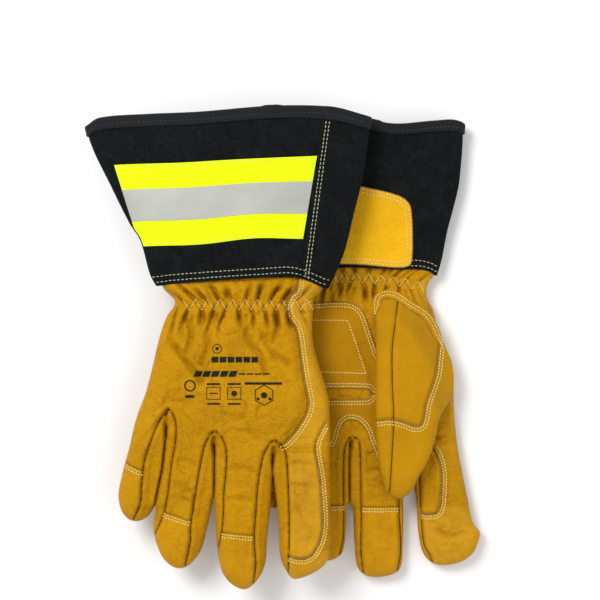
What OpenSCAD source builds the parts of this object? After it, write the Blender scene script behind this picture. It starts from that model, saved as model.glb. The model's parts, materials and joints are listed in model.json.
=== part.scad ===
// A pair of leather lineman's gloves with gauntlet cuffs, laid flat.
// The left glove lies palm up on the surface. The right glove lies palm down, partly on top of it.
// +Y points from the fingertips to the cuffs, +Z points up, and every size is in millimetres.

/* [Leather] */
// Thickness of the leather in the hands and fingers
leather = 1.5; // [1.2:0.1:1.6]
// Thickness of the split leather in the cuffs
cuff_leather = 1.8; // [1.4:0.1:2]
// Thickness of the patches sewn over the palm and the cuff
patch_leather = 1.2; // [0.8:0.1:1.2]

/* [Gauntlet cuffs] */
// Length of a cuff, from its seam to its bound edge
cuff_length = 127; // [120:1:130]
// Length of the stretch of each cuff that the binding covers
binding_width = 8; // [6:1:10]
// Height of the whole sight tape
tape_height = 64; // [60:1:66]
// Height of the silver strip down the middle of the tape
silver_height = 25; // [20:1:26]

/* [Layers] */
// Height of the plane that the right glove lies on
right_level = 27.5; // [27.5:0.5:30]
// Thickness of the hand and fingers of the right glove
right_thick = 20; // [19:1:22]
// Thickness of the hand and fingers of the left glove, which bears the weight of the right one
left_thick = 16; // [15:0.5:16]
// Thickness of the flattened thumb under the right palm
right_thumb_thick = 8; // [7:0.5:8]
// Thickness of the thumb on the left palm
left_thumb_thick = 16; // [14:1:18]

/* [Hidden] */
$fn = 48;
R = 0;
L = 1;
SIDES = ["right", "left"];
FINGERS = ["index", "middle", "ring", "pinky"];
GAP = 0.4;
EDGE = 0.3;

// Where each glove's wrist centre lies, and the thickness of its hand and cuff.
wrist = [[-25.3, 36.3, right_level], [64, 47.7, 0]];
hand_thick = [right_thick, left_thick];
cuff_thick = [26, 25];
cuff_start = 12;
cuff_rim = [cuff_start + cuff_length, cuff_start + cuff_length - 8];

// Each finger: x and y of the middle of its base, x and y of its tip, and its width.
finger = [
    [[45, -106, 45, -207, 38], [-1, -106, -1, -216, 38], [-43, -104, -51, -198, 37], [-74, -86, -84, -163, 26]],
    [[57, -112, 68, -209, 37], [14, -112, 14, -218, 37], [-28, -110, -31, -205, 36], [-63, -96, -69, -170, 26]]
];
// Distance from each finger's base to its bending line, and the angle that it hangs down from there.
bend_at = [[14, 14, 14, 14], [50, 54, 50, 40]];
droop = [[0, 0, 7, 8], [0, 0, 0, 0]];
// The fingers of the left glove that lie free and can curl, and those under the right glove.
CURLING = [0, 1];
TRAPPED = [2, 3];
// Room at a bending line, on the side that folds shut and on the side that opens.
fold_room = 7;
open_room = 2.5;
tip_straight = 6;
clear_of_hand = 10;

// Edges of a hand from the wrist to the knuckles, on its thumb side and on its far side.
thumb_side = [
    [[53, 3], [53, -14], [54, -33], [61, -58], [65, -84], [64, -112]],
    [[53, 3], [57, -24], [67, -46], [72, -74], [75, -100], [76, -118]]
];
far_side = [
    [[-85, -93], [-75, -68], [-65, -34], [-54, -12], [-54, 3]],
    [[-76, -104], [-75, -68], [-66, -34], [-54, -12], [-54, 3]]
];
knuckles = [
    [[27, -112], [23, -103], [18, -112], [-20, -112], [-22, -97], [-26, -110], [-61, -108], [-60, -80], [-62, -93]],
    [[40, -118], [36, -108], [32, -118], [-4, -118], [-8, -106], [-10, -117], [-46, -117], [-47, -92], [-50, -104]]
];
// The seam where the side piece that wraps round from the palm meets the back.
wrap_seam = [
    [[34, 3], [39, -16], [42, -34], [47, -62], [49, -72], [43, -90], [30, -104], [27, -112]],
    [[34, 3], [40, -16], [45, -34], [51, -62], [54, -76], [50, -96], [42, -110], [40, -118]]
];
palm_heel = [[-54, 8], [53, 8]];
wrist_half = 48;
elastic_width = 8;
lining_outline = [[46, 2], [45, -20], [55, -60], [56, -100], [-40, -100], [-70, -88], [-62, -60], [-46, -20], [-46, 2]];

// x at the far side and at the thumb side of a cuff, at its seam and at its rim.
cuff_seam = [[-67, 62], [-71, 60]];
cuff_top = [[-121, 94], [-134, 79]];
cuff_lap = [[46, 62], [44, 56]];
// x at the two ends of the tape, at its lower edge and at its upper edge.
tape_low = 46;
tape_far_end = [[-78, -98], [-86, -108]];
tape_near_end = [[44, 55], [42, 52]];
tape_thick = 0.6;
silver_thick = 0.4;

// Each thumb: x and y of its base and of its tip, the width at its base and at its shoulder, how far along
// the shoulder is, and the width of its round end.
thumb = [[32, -28, 27, -146, 46, 42, 70, 26], [34, -26, 31, -158, 52, 48, 80, 26]];
thumb_start = 4;
// How much farther along the inner side of a thumb starts. The left thumb folds at this slanted line.
thumb_slant = [0, 52];
thumb_floor_start = [32, 14];
thumb_hole = 30;

GOLD = "#c8911f";
GOLD_SIDE = "#b9851d";
GOLD_PATCH = "#d09a2c";
BLACK = "#1d1e22";
BINDING = "#121316";
TAPE = "#e3f51c";
SILVER = "#b4b7b6";
KNIT = "#d9d2bb";
ELASTIC = "#e8e6de";

function reversed(points) = [for (i = [len(points) - 1:-1:0]) points[i]];
function shifted(points, dx) = [for (p = points) [p[0] + dx, p[1]]];
function mix(a, b, share) = a + (b - a) * share;

function lean(a) = atan2(a[2] - a[0], a[1] - a[3]);
function reach(a) = norm([a[2] - a[0], a[3] - a[1]]);
function half_width(g, f) = finger[g][f][4] / 2;
function cap_length(g, f) = half_width(g, f) + tip_straight;
function moving_length(g, f) = reach(finger[g][f]) - bend_at[g][f];

// The right glove lies with its back up and the left glove with its palm up.
function is_up(g, is_back) = (g == R) == is_back;
function outside(g, is_back, t) = is_up(g, is_back) ? hand_thick[g] : -t;

// x of a cuff's far side (0), thumb side (1) or lap seam (2) at height y.
function cuff_x(g, side, y) =
    let (share = (y - cuff_start) / (cuff_rim[g] - cuff_start))
    side == 2 ? mix(cuff_lap[g][0], cuff_lap[g][1], share) : mix(cuff_seam[g][side], cuff_top[g][side], share);
// Heights of the lower and upper faces of a cuff, inside the binding's own thickness.
function cuff_low(g) = leather;
function cuff_high(g) = cuff_thick[g] - leather;
function cuff_wall(g) = cuff_high(g) - cuff_low(g) - 2 * cuff_leather;

module at_glove(g) {
    translate(wrist[g]) children();
}

// Turns a shape that is drawn with the back of the glove up to the way that the glove lies.
module turned(g, height) {
    translate([0, 0, g == R ? 0 : height]) mirror([0, 0, g == R ? 0 : 1]) children();
}

// Puts the middle of a finger's base at the origin, with the finger along -Y.
module at_base(g, f) {
    at_glove(g)
        translate([finger[g][f][0], finger[g][f][1], hand_thick[g] / 2])
            rotate([0, 0, lean(finger[g][f])]) children();
}

// Puts a finger's bending line at the origin, with its moving stretch along -Y.
module at_bend(g, f) {
    at_base(g, f)
        translate([0, -bend_at[g][f], 0])
            rotate([droop[g][f], 0, 0]) children();
}

module plate(points, z, t) {
    translate([0, 0, z]) linear_extrude(t) polygon(points);
}

// A flat strip along a finger from distance d0 to d1, on its upper or its lower side.
module strip(g, f, d0, d1, is_top) {
    half = half_width(g, f) - leather - EDGE;
    translate([-half, -d1, is_top ? hand_thick[g] / 2 - leather : -hand_thick[g] / 2])
        cube([2 * half, d1 - d0, leather]);
}

// The two side walls of a finger.
module walls(g, f, d0, d1) {
    for (side = [-1, 1])
        translate([side * (half_width(g, f) - leather / 2), -(d0 + d1) / 2, 0])
            cube([leather, d1 - d0, hand_thick[g]], center = true);
}

module round_end(half, straight) {
    difference() {
        union() {
            circle(r = half);
            translate([-half, 0]) square([2 * half, straight]);
        }
        translate([-half, straight]) square([2 * half, half]);
    }
}

// A fingertip: a hollow, round end that is open towards the hand.
module cap(g, f, d_end) {
    half = half_width(g, f);
    translate([0, half - d_end, -hand_thick[g] / 2])
        difference() {
            linear_extrude(hand_thick[g]) round_end(half, tip_straight);
            translate([0, 0, leather])
                linear_extrude(hand_thick[g] - 2 * leather) round_end(half - leather, tip_straight + 1);
        }
}

module finger_strip(g, f, is_back) {
    color(GOLD) at_bend(g, f) strip(g, f, EDGE, moving_length(g, f) - cap_length(g, f), is_up(g, is_back));
}

module finger_walls(g, f) {
    color(GOLD_SIDE) at_bend(g, f) walls(g, f, EDGE, moving_length(g, f) - cap_length(g, f));
}

module finger_tip(g, f) {
    color(GOLD) at_bend(g, f) cap(g, f, moving_length(g, f));
}

module trapped_tip(f) {
    color(GOLD) at_base(L, f) cap(L, f, reach(finger[L][f]));
}

// Where the stretch of a left finger that stays with the hand ends, less some room at a bending line.
function fixed_end(f, room) = f < TRAPPED[0] ? bend_at[L][f] - room : reach(finger[L][f]) - cap_length(L, f);

// The side walls of the left glove that stay with the hand.
module left_fourchettes() {
    color(GOLD_SIDE)
        for (f = [0:3]) at_base(L, f) walls(L, f, clear_of_hand, fixed_end(f, fold_room));
}

// The stretches of the fingers that are one piece with a hand's panel. On the back, the side piece ends
// where the index finger begins, so the finger's own leather starts clear of it.
module finger_roots(g, is_back) {
    room = is_up(g, is_back) ? fold_room : open_room;
    for (f = [0:3]) {
        start = is_back && f == 0 ? clear_of_hand : -fold_room;
        end = g == L ? fixed_end(f, room) : bend_at[R][f] - room;
        if (end > start) at_base(g, f) strip(g, f, start, end, is_up(g, is_back));
    }
}

// The back of a hand, with the wall round its far side.
module back_panel(g) {
    color(GOLD) {
        at_glove(g)
            turned(g, hand_thick[g]) {
                plate(concat(wrap_seam[g], knuckles[g], far_side[g]), hand_thick[g] - leather, leather);
                plate(concat(far_side[g], reversed(shifted(far_side[g], leather))), leather, hand_thick[g] - 2 * leather);
            }
        finger_roots(g, true);
    }
}

// The palm, with the hole for the thumb and a collar round it.
module palm_panel(g) {
    inset = leather + EDGE;
    color(GOLD) {
        at_glove(g)
            turned(g, hand_thick[g]) {
                linear_extrude(leather)
                    difference() {
                        polygon(concat(shifted(thumb_side[g], -inset), knuckles[g], far_side[g], palm_heel));
                        thumb_hole_outline(g);
                    }
                translate([0, 0, -patch_leather])
                    linear_extrude(patch_leather + 0.1)
                        difference() {
                            thumb_collar_outline(g, leather);
                            thumb_hole_outline(g);
                        }
            }
        finger_roots(g, false);
    }
}

module thumb_hole_outline(g) {
    translate([thumb[g][0], thumb[g][1] - thumb_start - thumb_hole / 2]) circle(d = thumb_hole);
}

module thumb_collar_outline(g, wall) {
    translate([thumb[g][0], thumb[g][1] - thumb_start - thumb_hole / 2]) circle(d = thumb_hole + 2 * wall);
}

// The side piece: a flat stretch on the back, and the wall round the thumb side of the hand.
module side_wrap(g) {
    color(GOLD_SIDE)
        at_glove(g)
            turned(g, hand_thick[g]) {
                plate(concat(thumb_side[g], reversed(shifted(wrap_seam[g], EDGE))), hand_thick[g] - leather, leather);
                plate(concat(thumb_side[g], reversed(shifted(thumb_side[g], -leather))), 0, hand_thick[g] - leather);
            }
}

module palm_patch(g) {
    patch = [[-56, -10], [-4, -10], [4, -17], [9, -34], [9, -60], [5, -67], [-66, -67]];
    color(GOLD_PATCH) at_glove(g) plate(patch, outside(g, false, patch_leather), patch_leather);
}

module knuckle_patch(g) {
    top = -84;
    waves = -110;
    patch = [[48, top], [48, -98], [38, -100], [30, waves], [22, waves], [18, -98], [-16, -98], [-20, -90],
        [-26, -98], [-54, -96], [-62, top]];
    color(GOLD_PATCH) at_glove(g) plate(patch, outside(g, false, patch_leather), patch_leather);
}

// The two runs of elastic that gather the wrist.
module wrist_elastic(g) {
    color(ELASTIC)
        at_glove(g)
            for (z = [leather, hand_thick[g] - 2 * leather])
                translate([-wrist_half, -elastic_width, z]) cube([2 * wrist_half, elastic_width, leather]);
}

// The knitted lining: a flat bag that is open at the wrist.
module lining(g) {
    skin = 2 * leather + EDGE;
    knit = 1;
    height = hand_thick[g] - 2 * skin;
    color(KNIT)
        at_glove(g)
            difference() {
                plate(lining_outline, skin, height);
                plate([[46 - knit, 3], [45 - knit, -20], [55 - knit, -60], [56 - knit, -99], [-40, -99], [-70 + knit, -87],
                    [-62 + knit, -60], [-46 + knit, -20], [-46 + knit, 3]], skin + knit, height - 2 * knit);
            }
}

// Puts the base of a thumb at the origin, with the thumb along -Y and the palm below it.
module at_thumb(g) {
    at_glove(g)
        turned(g, hand_thick[g])
            translate([thumb[g][0], thumb[g][1], g == R ? -patch_leather : -patch_leather - GAP])
                rotate([0, 0, lean(thumb[g])])
                    mirror([0, 0, 1]) children();
}

function thumb_thick(g) = g == R ? right_thumb_thick : left_thumb_thick;
function thumb_half(g, d) =
    let (t = thumb[g]) (d < t[6] ? mix(t[4], t[5], d / t[6]) : mix(t[5], t[7], (d - t[6]) / (reach(t) - t[7] / 2 - t[6]))) / 2;

// Outline of a thumb from distance d0 to its round tip, drawn in by an inset.
module thumb_outline(g, d0, inset) {
    round_at = reach(thumb[g]) - thumb[g][7] / 2;
    function side(start) = [for (d = [start, thumb[g][6], round_at]) [thumb_half(g, d) - inset, -d]];
    polygon(concat(side(d0 + thumb_slant[g]), [for (p = reversed(side(d0))) [-p[0], p[1]]]));
    translate([0, -round_at]) circle(r = thumb[g][7] / 2 - inset);
}

// The leather on the outer side of a thumb, and the leather that faces the palm.
module thumb_front(g) {
    color(GOLD)
        at_thumb(g)
            translate([0, 0, thumb_thick(g) - leather])
                linear_extrude(leather) thumb_outline(g, thumb_start, leather + EDGE);
}

module thumb_back(g) {
    color(GOLD) at_thumb(g) linear_extrude(leather) thumb_outline(g, thumb_floor_start[g], leather + EDGE);
}

// The side walls of a thumb, which meet round its tip.
module thumb_fourchettes(g) {
    color(GOLD_SIDE)
        at_thumb(g)
            linear_extrude(thumb_thick(g))
                difference() {
                    thumb_outline(g, thumb_start, 0);
                    thumb_outline(g, 0, leather);
                }
}

// A flat piece of a cuff from y0 to y1 between two of its sides, each shifted by an inset.
module cuff_piece(g, side0, side1, in0, in1, y0, y1, z, t) {
    plate([[cuff_x(g, side0, y0) + in0, y0], [cuff_x(g, side1, y0) + in1, y0],
        [cuff_x(g, side1, y1) + in1, y1], [cuff_x(g, side0, y1) + in0, y1]], z, t);
}

// The back of a cuff: the flat stretch that carries the tape, and the wall round the far side.
module cuff_back(g) {
    y1 = cuff_rim[g];
    color(BLACK)
        at_glove(g)
            turned(g, cuff_thick[g]) {
                cuff_piece(g, 0, 2, 0, 0, cuff_start, y1, cuff_high(g) - cuff_leather, cuff_leather);
                cuff_piece(g, 0, 0, 0, cuff_leather, cuff_start, y1, cuff_low(g) + cuff_leather, cuff_wall(g));
            }
}

// The palm side of a cuff: it wraps round the thumb side on to the back, up to the lap seam.
module cuff_palm(g) {
    y1 = cuff_rim[g];
    color(BLACK)
        at_glove(g)
            turned(g, cuff_thick[g]) {
                cuff_piece(g, 0, 1, 0, 0, cuff_start, y1, cuff_low(g), cuff_leather);
                cuff_piece(g, 1, 1, -cuff_leather, 0, cuff_start, y1, cuff_low(g) + cuff_leather, cuff_wall(g));
                cuff_piece(g, 2, 1, EDGE, 0, cuff_start, y1, cuff_high(g) - cuff_leather, cuff_leather);
            }
}

// The binding: a channel folded over the rim of a cuff, all the way round.
module cuff_binding(g) {
    y0 = cuff_rim[g] - binding_width;
    y1 = cuff_rim[g] + leather;
    wall = cuff_leather + leather;
    color(BINDING)
        at_glove(g)
            turned(g, cuff_thick[g])
                difference() {
                    cuff_piece(g, 0, 1, -leather, leather, y0, y1, 0, cuff_thick[g]);
                    cuff_piece(g, 0, 1, wall, -wall, y0 - 1, y1 + 1, wall + leather, cuff_thick[g] - 2 * (wall + leather));
                    difference() {
                        cuff_piece(g, 0, 1, 0, 0, y0 - 1, cuff_rim[g], cuff_low(g), cuff_high(g) - cuff_low(g));
                        cuff_piece(g, 0, 1, cuff_leather, -cuff_leather, y0 - 2, y1, cuff_low(g) + cuff_leather,
                            cuff_wall(g));
                    }
                }
}

// The patch on the palm side of a cuff, with its two upper corners rounded.
module cuff_patch(g) {
    left = -34;
    low = 17;
    width = 73;
    height = 62;
    corner = 12;
    color(GOLD_PATCH)
        at_glove(g)
            turned(g, cuff_thick[g])
                translate([left, low, cuff_low(g) - patch_leather])
                    linear_extrude(patch_leather) {
                        square([width, height - corner]);
                        translate([corner, 0]) square([width - 2 * corner, height]);
                        for (x = [corner, width - corner]) translate([x, height - corner]) circle(r = corner);
                    }
}

// A stretch of the tape between two distances from its lower edge.
module tape_piece(g, from, to, z, t) {
    function far(d) = mix(tape_far_end[g][0], tape_far_end[g][1], d / tape_height);
    function near(d) = mix(tape_near_end[g][0], tape_near_end[g][1], d / tape_height);
    at_glove(g)
        turned(g, cuff_thick[g])
            plate([[far(from), tape_low + from], [near(from), tape_low + from], [near(to), tape_low + to],
                [far(to), tape_low + to]], z, t);
}

module sight_tape(g) {
    color(TAPE) tape_piece(g, 0, tape_height, cuff_high(g), tape_thick);
}

module silver_strip(g) {
    low = (tape_height - silver_height) / 2;
    color(SILVER) tape_piece(g, low, low + silver_height, cuff_high(g) + tape_thick, silver_thick);
}

for (g = [R, L]) {
    back_panel(g);
    palm_panel(g);
    side_wrap(g);
    palm_patch(g);
    knuckle_patch(g);
    wrist_elastic(g);
    lining(g);
    thumb_front(g);
    thumb_back(g);
    thumb_fourchettes(g);
    cuff_back(g);
    cuff_palm(g);
    cuff_binding(g);
    cuff_patch(g);
    sight_tape(g);
    silver_strip(g);
    for (f = g == R ? [0:3] : CURLING) {
        finger_strip(g, f, true);
        finger_strip(g, f, false);
        finger_walls(g, f);
        finger_tip(g, f);
    }
}
for (f = TRAPPED)
    trapped_tip(f);
left_fourchettes();
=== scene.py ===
import json
import math

import bpy
import numpy as np
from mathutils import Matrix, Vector
from mathutils.geometry import delaunay_2d_cdt


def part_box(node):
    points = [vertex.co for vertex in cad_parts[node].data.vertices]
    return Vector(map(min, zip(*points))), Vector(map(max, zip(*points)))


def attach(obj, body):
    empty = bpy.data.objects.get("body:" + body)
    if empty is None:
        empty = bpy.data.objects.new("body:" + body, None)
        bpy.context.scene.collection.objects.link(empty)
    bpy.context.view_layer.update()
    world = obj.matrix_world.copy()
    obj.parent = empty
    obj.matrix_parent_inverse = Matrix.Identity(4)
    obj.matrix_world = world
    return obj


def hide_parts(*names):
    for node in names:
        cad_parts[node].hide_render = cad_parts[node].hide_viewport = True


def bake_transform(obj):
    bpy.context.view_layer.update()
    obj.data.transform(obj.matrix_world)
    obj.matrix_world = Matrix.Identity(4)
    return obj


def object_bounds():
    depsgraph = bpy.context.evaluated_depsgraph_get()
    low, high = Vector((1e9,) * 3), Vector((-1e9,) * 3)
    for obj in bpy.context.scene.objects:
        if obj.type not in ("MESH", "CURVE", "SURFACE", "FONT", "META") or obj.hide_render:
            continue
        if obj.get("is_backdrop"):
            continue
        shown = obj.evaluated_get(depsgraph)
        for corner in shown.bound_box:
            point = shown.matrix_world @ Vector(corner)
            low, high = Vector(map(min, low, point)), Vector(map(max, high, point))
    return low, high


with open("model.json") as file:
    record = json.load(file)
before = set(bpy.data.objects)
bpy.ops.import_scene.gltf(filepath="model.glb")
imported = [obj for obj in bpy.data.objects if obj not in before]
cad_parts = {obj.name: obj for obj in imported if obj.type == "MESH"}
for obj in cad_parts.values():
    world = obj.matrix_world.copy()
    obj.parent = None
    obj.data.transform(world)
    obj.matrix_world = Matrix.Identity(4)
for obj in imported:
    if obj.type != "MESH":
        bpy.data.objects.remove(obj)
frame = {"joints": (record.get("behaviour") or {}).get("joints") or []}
CAD_BOUNDS = [list(corner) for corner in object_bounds()]

# All shapes below are in millimetres in a glove's own frame: the middle of the wrist is the origin, +Y points
# to the cuff and +X to the index finger's side. The right glove lies back up, the left glove palm up.
MM = 0.001
LEATHER = 1.5
CUFF_LEATHER = 1.8
CUFF_LENGTH = 128
PATCH = 1.2
PATCH_RISE = 0.95
LAP_LIFT = 1.5
GRID = 0.8
FAR = 900.0
FINGERS = ("index", "middle", "ring", "pinky")
# How far down the hand the thumb-side wrap reaches, and where the index finger's outer leather begins.
WRAP_END = -107
INDEX_WRAP_START = {"right": -104, "left": -117}
# Where that leather's rows of stitches and its cut edge begin.
INDEX_ROWS_START = {"right": -90, "left": -118}
INDEX_EDGE_START = {"right": -112, "left": -124}
# The hand's leather ends under the cuff here, and fingers begin beyond this line.
HAND_END = 21
FINGER_START = -75
# Where the leather of the fingers that have no joint begins.
STILL_FINGERS = -112
# The area in x and y that a hand's surface is worked out over, and how far its rim is rounded.
HAND_SPAN = (-106, 98), (-230, 32)
HAND_ROUNDING = 15.0


# ---------------------------------------------------------------- outlines and seams

def run(*numbers):
    """Points from a flat list of x, y, x, y ..."""
    return [(numbers[i], numbers[i + 1]) for i in range(0, len(numbers), 2)]


RIGHT = dict(
    side="right", back_up=True,
    outline=run(58, 26, 59.5, 13, 53.5, 5.5, 52, -3, 52, -26.5, 57.5, -48.5, 64, -71.5, 65, -95,
                65, -125.5, 65.5, -148, 65.5, -171, 64.5, -191, 59, -200, 47.5, -206.5, 37, -208.5,
                31, -201.5, 27, -191.5, 26, -171, 24.6, -152, 22.7, -136, 22.1, -127, 21.5, -118.5,
                20.9, -127, 20.5, -138.5, 19.4, -156, 17, -178.5, 16, -195.5, 11, -208, 1, -216.5,
                -9.5, -213, -17, -203.5, -20.5, -188.5, -21.9, -171, -22.7, -152, -22.2, -133,
                -22.1, -120, -22.7, -112, -23.3, -120, -23.4, -133, -24.6, -150.5, -29.5, -173.5,
                -34, -189, -43, -200, -52, -202.5, -61.5, -196.5, -67.5, -184.5, -70, -171, -68, -156,
                -64.7, -138.5, -61.3, -122.5, -59.5, -106, -59.6, -98, -60.7, -106, -62.5, -122.5,
                -66.1, -138.5, -70.2, -156, -77, -164.5, -86.5, -166, -94, -159.5, -97, -147, -94, -130,
                -88, -108.5, -82.5, -86, -75.5, -67, -70.5, -48, -64.5, -23, -59.5, -9, -53, 2.5, -62, 13,
                -64, 26),
    crotches=run(-58, -79, -22.6, -95.8, 22, -103),
    webs=(run(-59, -84, -59.8, -90, -59.6, -99), run(-23, -100, -23.6, -106, -22.7, -113),
          run(22, -108, 22.4, -114, 21.5, -120)),
    # The seams of each finger's back strip, from its root to its tip: far seam, then thumb-side seam.
    seams={
        "index": (run(24, -103.5, 27.5, -105.5, 31.5, -112.5, 33, -128, 34, -156, 34, -187, 33, -209),
                  run(61.5, -89.5, 55, -102, 54, -110, 57.5, -131.5, 59.5, -163, 58.5, -175, 55.5, -183,
                      50.5, -190, 43.5, -192.5, 34, -190.5)),
        "middle": (run(-21, -96.5, -17, -100.5, -14, -108, -13.5, -120, -15.5, -143.5, -16.5, -167,
                       -21, -190),
                   run(21, -103.5, 18.5, -106.5, 14.5, -114, 10.5, -135.5, 8.5, -161, 7.5, -178.5,
                       8.5, -197.5, 5.5, -216)),
        "ring": (run(-57.5, -79, -54.5, -81.5, -52, -89, -52, -102, -55, -119.5, -60.5, -155, -69, -176),
                 run(-24, -96.5, -26.5, -99.5, -30, -106.5, -32.5, -117, -37, -141.5, -41, -167,
                     -41.5, -179.5, -46, -200)),
        "pinky": ((), run(-59, -81.5, -63.5, -86.5, -70.5, -102, -75.5, -116.5, -78.5, -138.5,
                          -79.5, -150.5, -86, -165)),
    },
    tips={"middle": run(-24, -172, 20, -175.8), "ring": run(-72, -153.5, -26, -168),
          "pinky": run(-98, -117, -68, -128.5)},
    wrap=run(42, 27, 40, 10.5, 36, 7, 32, -2.5, 34, -9, 39, -16, 41.5, -25.5, 44, -44, 47, -62.5,
             49, -71.5, 48, -80.5, 43.5, -89.5, 37.5, -98, 30.5, -105, 27, -106.5),
    hem=run(-80, 13.5, -66.5, 14.5, -53, 16, -11, 19, 13.5, 20.5, 34.5, 21.5, 46, 19, 62, 12.5, 75, 11),
    rim=run(-135, 133, -121, 134.5, -110, 140.5, -72, 143, -34, 144.5, 21, 149, 65, 148.5, 89.5, 143,
            100, 140),
    cuff_far=run(-66.5, 13, -72, 23, -79.5, 49.5, -87, 61, -102, 91, -117.5, 124, -122.5, 150),
    cuff_near=run(62, 12, 67.5, 23, 75, 42, 81.5, 68.5, 88, 95, 92.5, 125.5, 94.5, 150),
    lap=run(41.5, 10, 42.4, 20, 60, 150),
    # Where two fingers press together: the gap's number, and the stretch of y.
    touch=((0, -113, -131), (1, -106, -149), (2, -92, -156)),
    tape=run(-79.5, 44.5, -98.5, 106, 55, 112.5, 44.5, 49.5),
    # The zigzag stitch: where it starts and ends, and its pitch.
    zigzag=(-46.5, 50, 9.4),
)

LEFT = dict(
    side="left", back_up=False,
    outline=run(56, 26, 58, 13.5, 52.5, 4.5, 52, -5, 57, -16, 60, -31, 66.5, -44.5, 72, -59.5, 73, -89.5,
                75.5, -119.5, 80, -144.5, 84, -164, 88, -182, 93, -188, 92, -196, 87, -206, 75, -213,
                58, -213.5, 49, -205, 45, -187, 44, -167, 41.5, -151, 38.6, -133, 36.6, -124, 35.8, -117,
                35, -124, 33.5, -137, 33, -159.5, 33.5, -173.5, 33, -198, 31, -217, 22, -222.5, 6, -223,
                -2, -216.5, -4.5, -197.5, -6, -168, -8, -152, -8, -133, -7.6, -120, -9, -133, -9.4, -152,
                -10.6, -168, -11.5, -189, -15, -206, -27, -211, -41, -205, -48, -188.5, -49.5, -167,
                -49.3, -144.5, -48.8, -125.5, -49, -108, -50.6, -125.5, -53, -144.5, -57, -159.5,
                -66, -170, -74.5, -165.5, -79, -152, -78.5, -129, -76, -102.5, -75, -68.5, -66, -34,
                -55.5, -13.5, -54, -1.5, -66, 13.5, -66, 26),
    crotches=run(-48.5, -101.5, -6.3, -114, 35.3, -110.3),
    webs=(run(-48.6, -104, -49.2, -107, -49, -110), run(-6.6, -117, -7.8, -119, -7.6, -122),
          run(35.4, -112, 36, -116, 35.8, -119)),
    seams={
        "index": (run(37, -111, 42.5, -118.5, 45, -137, 47, -171.5, 49.5, -197.5, 54, -206, 58, -216),
                  run(56, -121.5, 61.5, -134, 63, -144.5, 62.5, -159.5, 61.5, -168.5, 58, -173.5,
                      46, -173.8)),
        "middle": (run(-4, -115, -1, -118.5, 0, -137.5, 0.5, -173.5, 0.5, -204, 3, -224),
                   run(33.5, -111, 29.5, -118.5, 29.5, -137, 30, -173.5, 31, -204, 27, -224)),
        "ring": (run(-47, -102.5, -43.5, -109.5, -42, -129, -42, -170, -41, -190, -36, -207),
                 run(-8.5, -115, -12, -121, -13.5, -137, -13.5, -192, -18, -211)),
        "pinky": (run(-76, -110, -75, -129, -75, -150, -71, -170),
                  run(-50, -102.5, -56, -111, -59.5, -129, -61.5, -152, -68.5, -171)),
    },
    tips={"middle": run(-10, -168.5, 40, -168.5), "ring": run(-52, -166.5, -8, -167.5),
          "pinky": run(-82, -138, -50, -141)},
    wrap=run(34, 27, 34, 3, 40, -16, 45, -34, 51, -62, 54, -76, 50, -96, 42, -110, 38, -112),
    hem=run(-80, 14, -70, 15, -10, 17.5, 28, 16, 45.5, 16, 54.5, 14, 59.5, 11.5, 75, 10.5),
    rim=run(-145, 122, -137, 125, -120, 132, -60, 135, 2, 131.5, 20.5, 128, 31, 127.5, 57.5, 130,
            75, 130.5, 90, 123),
    cuff_far=run(-71.5, 13, -77, 25, -90, 54, -110, 86, -128, 113, -137, 134),
    cuff_near=run(59.5, 11, 63, 22.5, 65.5, 35, 68, 47.5, 72, 62.5, 76.5, 81.5, 78.5, 101, 79.5, 115.5,
                  80, 134),
    touch=((0, -112, -140), (1, -117, -170), (2, -103, -128)),
    tape=run(-86, 44.5, -107, 106, 52, 108.5, 42, 46.5),
    zigzag=(-41.8, 48, 9.6),
)


def spline(points, step=1.2, closed=False):
    """A smooth curve through given points, sampled about every `step` mm."""
    p = np.array(points, float)
    n = len(p)
    out = []
    for i in range(n if closed else n - 1):
        if closed:
            a, b, c, d = p[i - 1], p[i], p[(i + 1) % n], p[(i + 2) % n]
        else:
            a, b, c, d = p[max(i - 1, 0)], p[i], p[i + 1], p[min(i + 2, n - 1)]
        length = np.linalg.norm(c - b)
        before, after = np.linalg.norm(b - a) or length, np.linalg.norm(d - c) or length
        start = (c - a) * length / (before + length)
        end = (d - b) * length / (length + after)
        t = np.arange(0, 1, 1 / max(2, math.ceil(length / step)))[:, None]
        out.append(b * (2 * t**3 - 3 * t**2 + 1) + start * (t**3 - 2 * t**2 + t)
                   + c * (3 * t**2 - 2 * t**3) + end * (t**3 - t**2))
    if not closed:
        out.append(p[-1:])
    return np.concatenate(out)


def nearest(points, line, chunk=20000):
    """Distance from each 2-D point to a polyline, and the nearest point on it."""
    a, b = line[:-1], line[1:]
    along = b - a
    size = np.maximum((along**2).sum(1), 1e-9)
    distance, foot = np.empty(len(points)), np.empty((len(points), 2))
    for i in range(0, len(points), chunk):
        p = points[i:i + chunk, None]
        t = np.clip(((p - a) * along).sum(2) / size, 0, 1)
        near = a + t[..., None] * along
        d = ((p - near)**2).sum(2)
        k = d.argmin(1)
        rows = np.arange(len(k))
        distance[i:i + chunk] = np.sqrt(d[rows, k])
        foot[i:i + chunk] = near[rows, k]
    return distance, foot


def inside(points, loop):
    """Whether each 2-D point is inside a closed outline."""
    odd = np.zeros(len(points), bool)
    x, y = points[:, 0], points[:, 1]
    for (ax, ay), (bx, by) in zip(loop, np.roll(loop, -1, 0)):
        if ay != by:
            odd ^= ((ay > y) != (by > y)) & (x < (bx - ax) * (y - ay) / (by - ay) + ax)
    return odd


def signed_distance(points, loop):
    """Distance to a closed outline, positive inside."""
    distance, _ = nearest(points, np.vstack([loop, loop[:1]]))
    return np.where(inside(points, loop), distance, -distance)


# ---------------------------------------------------------------- noise and creases

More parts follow.
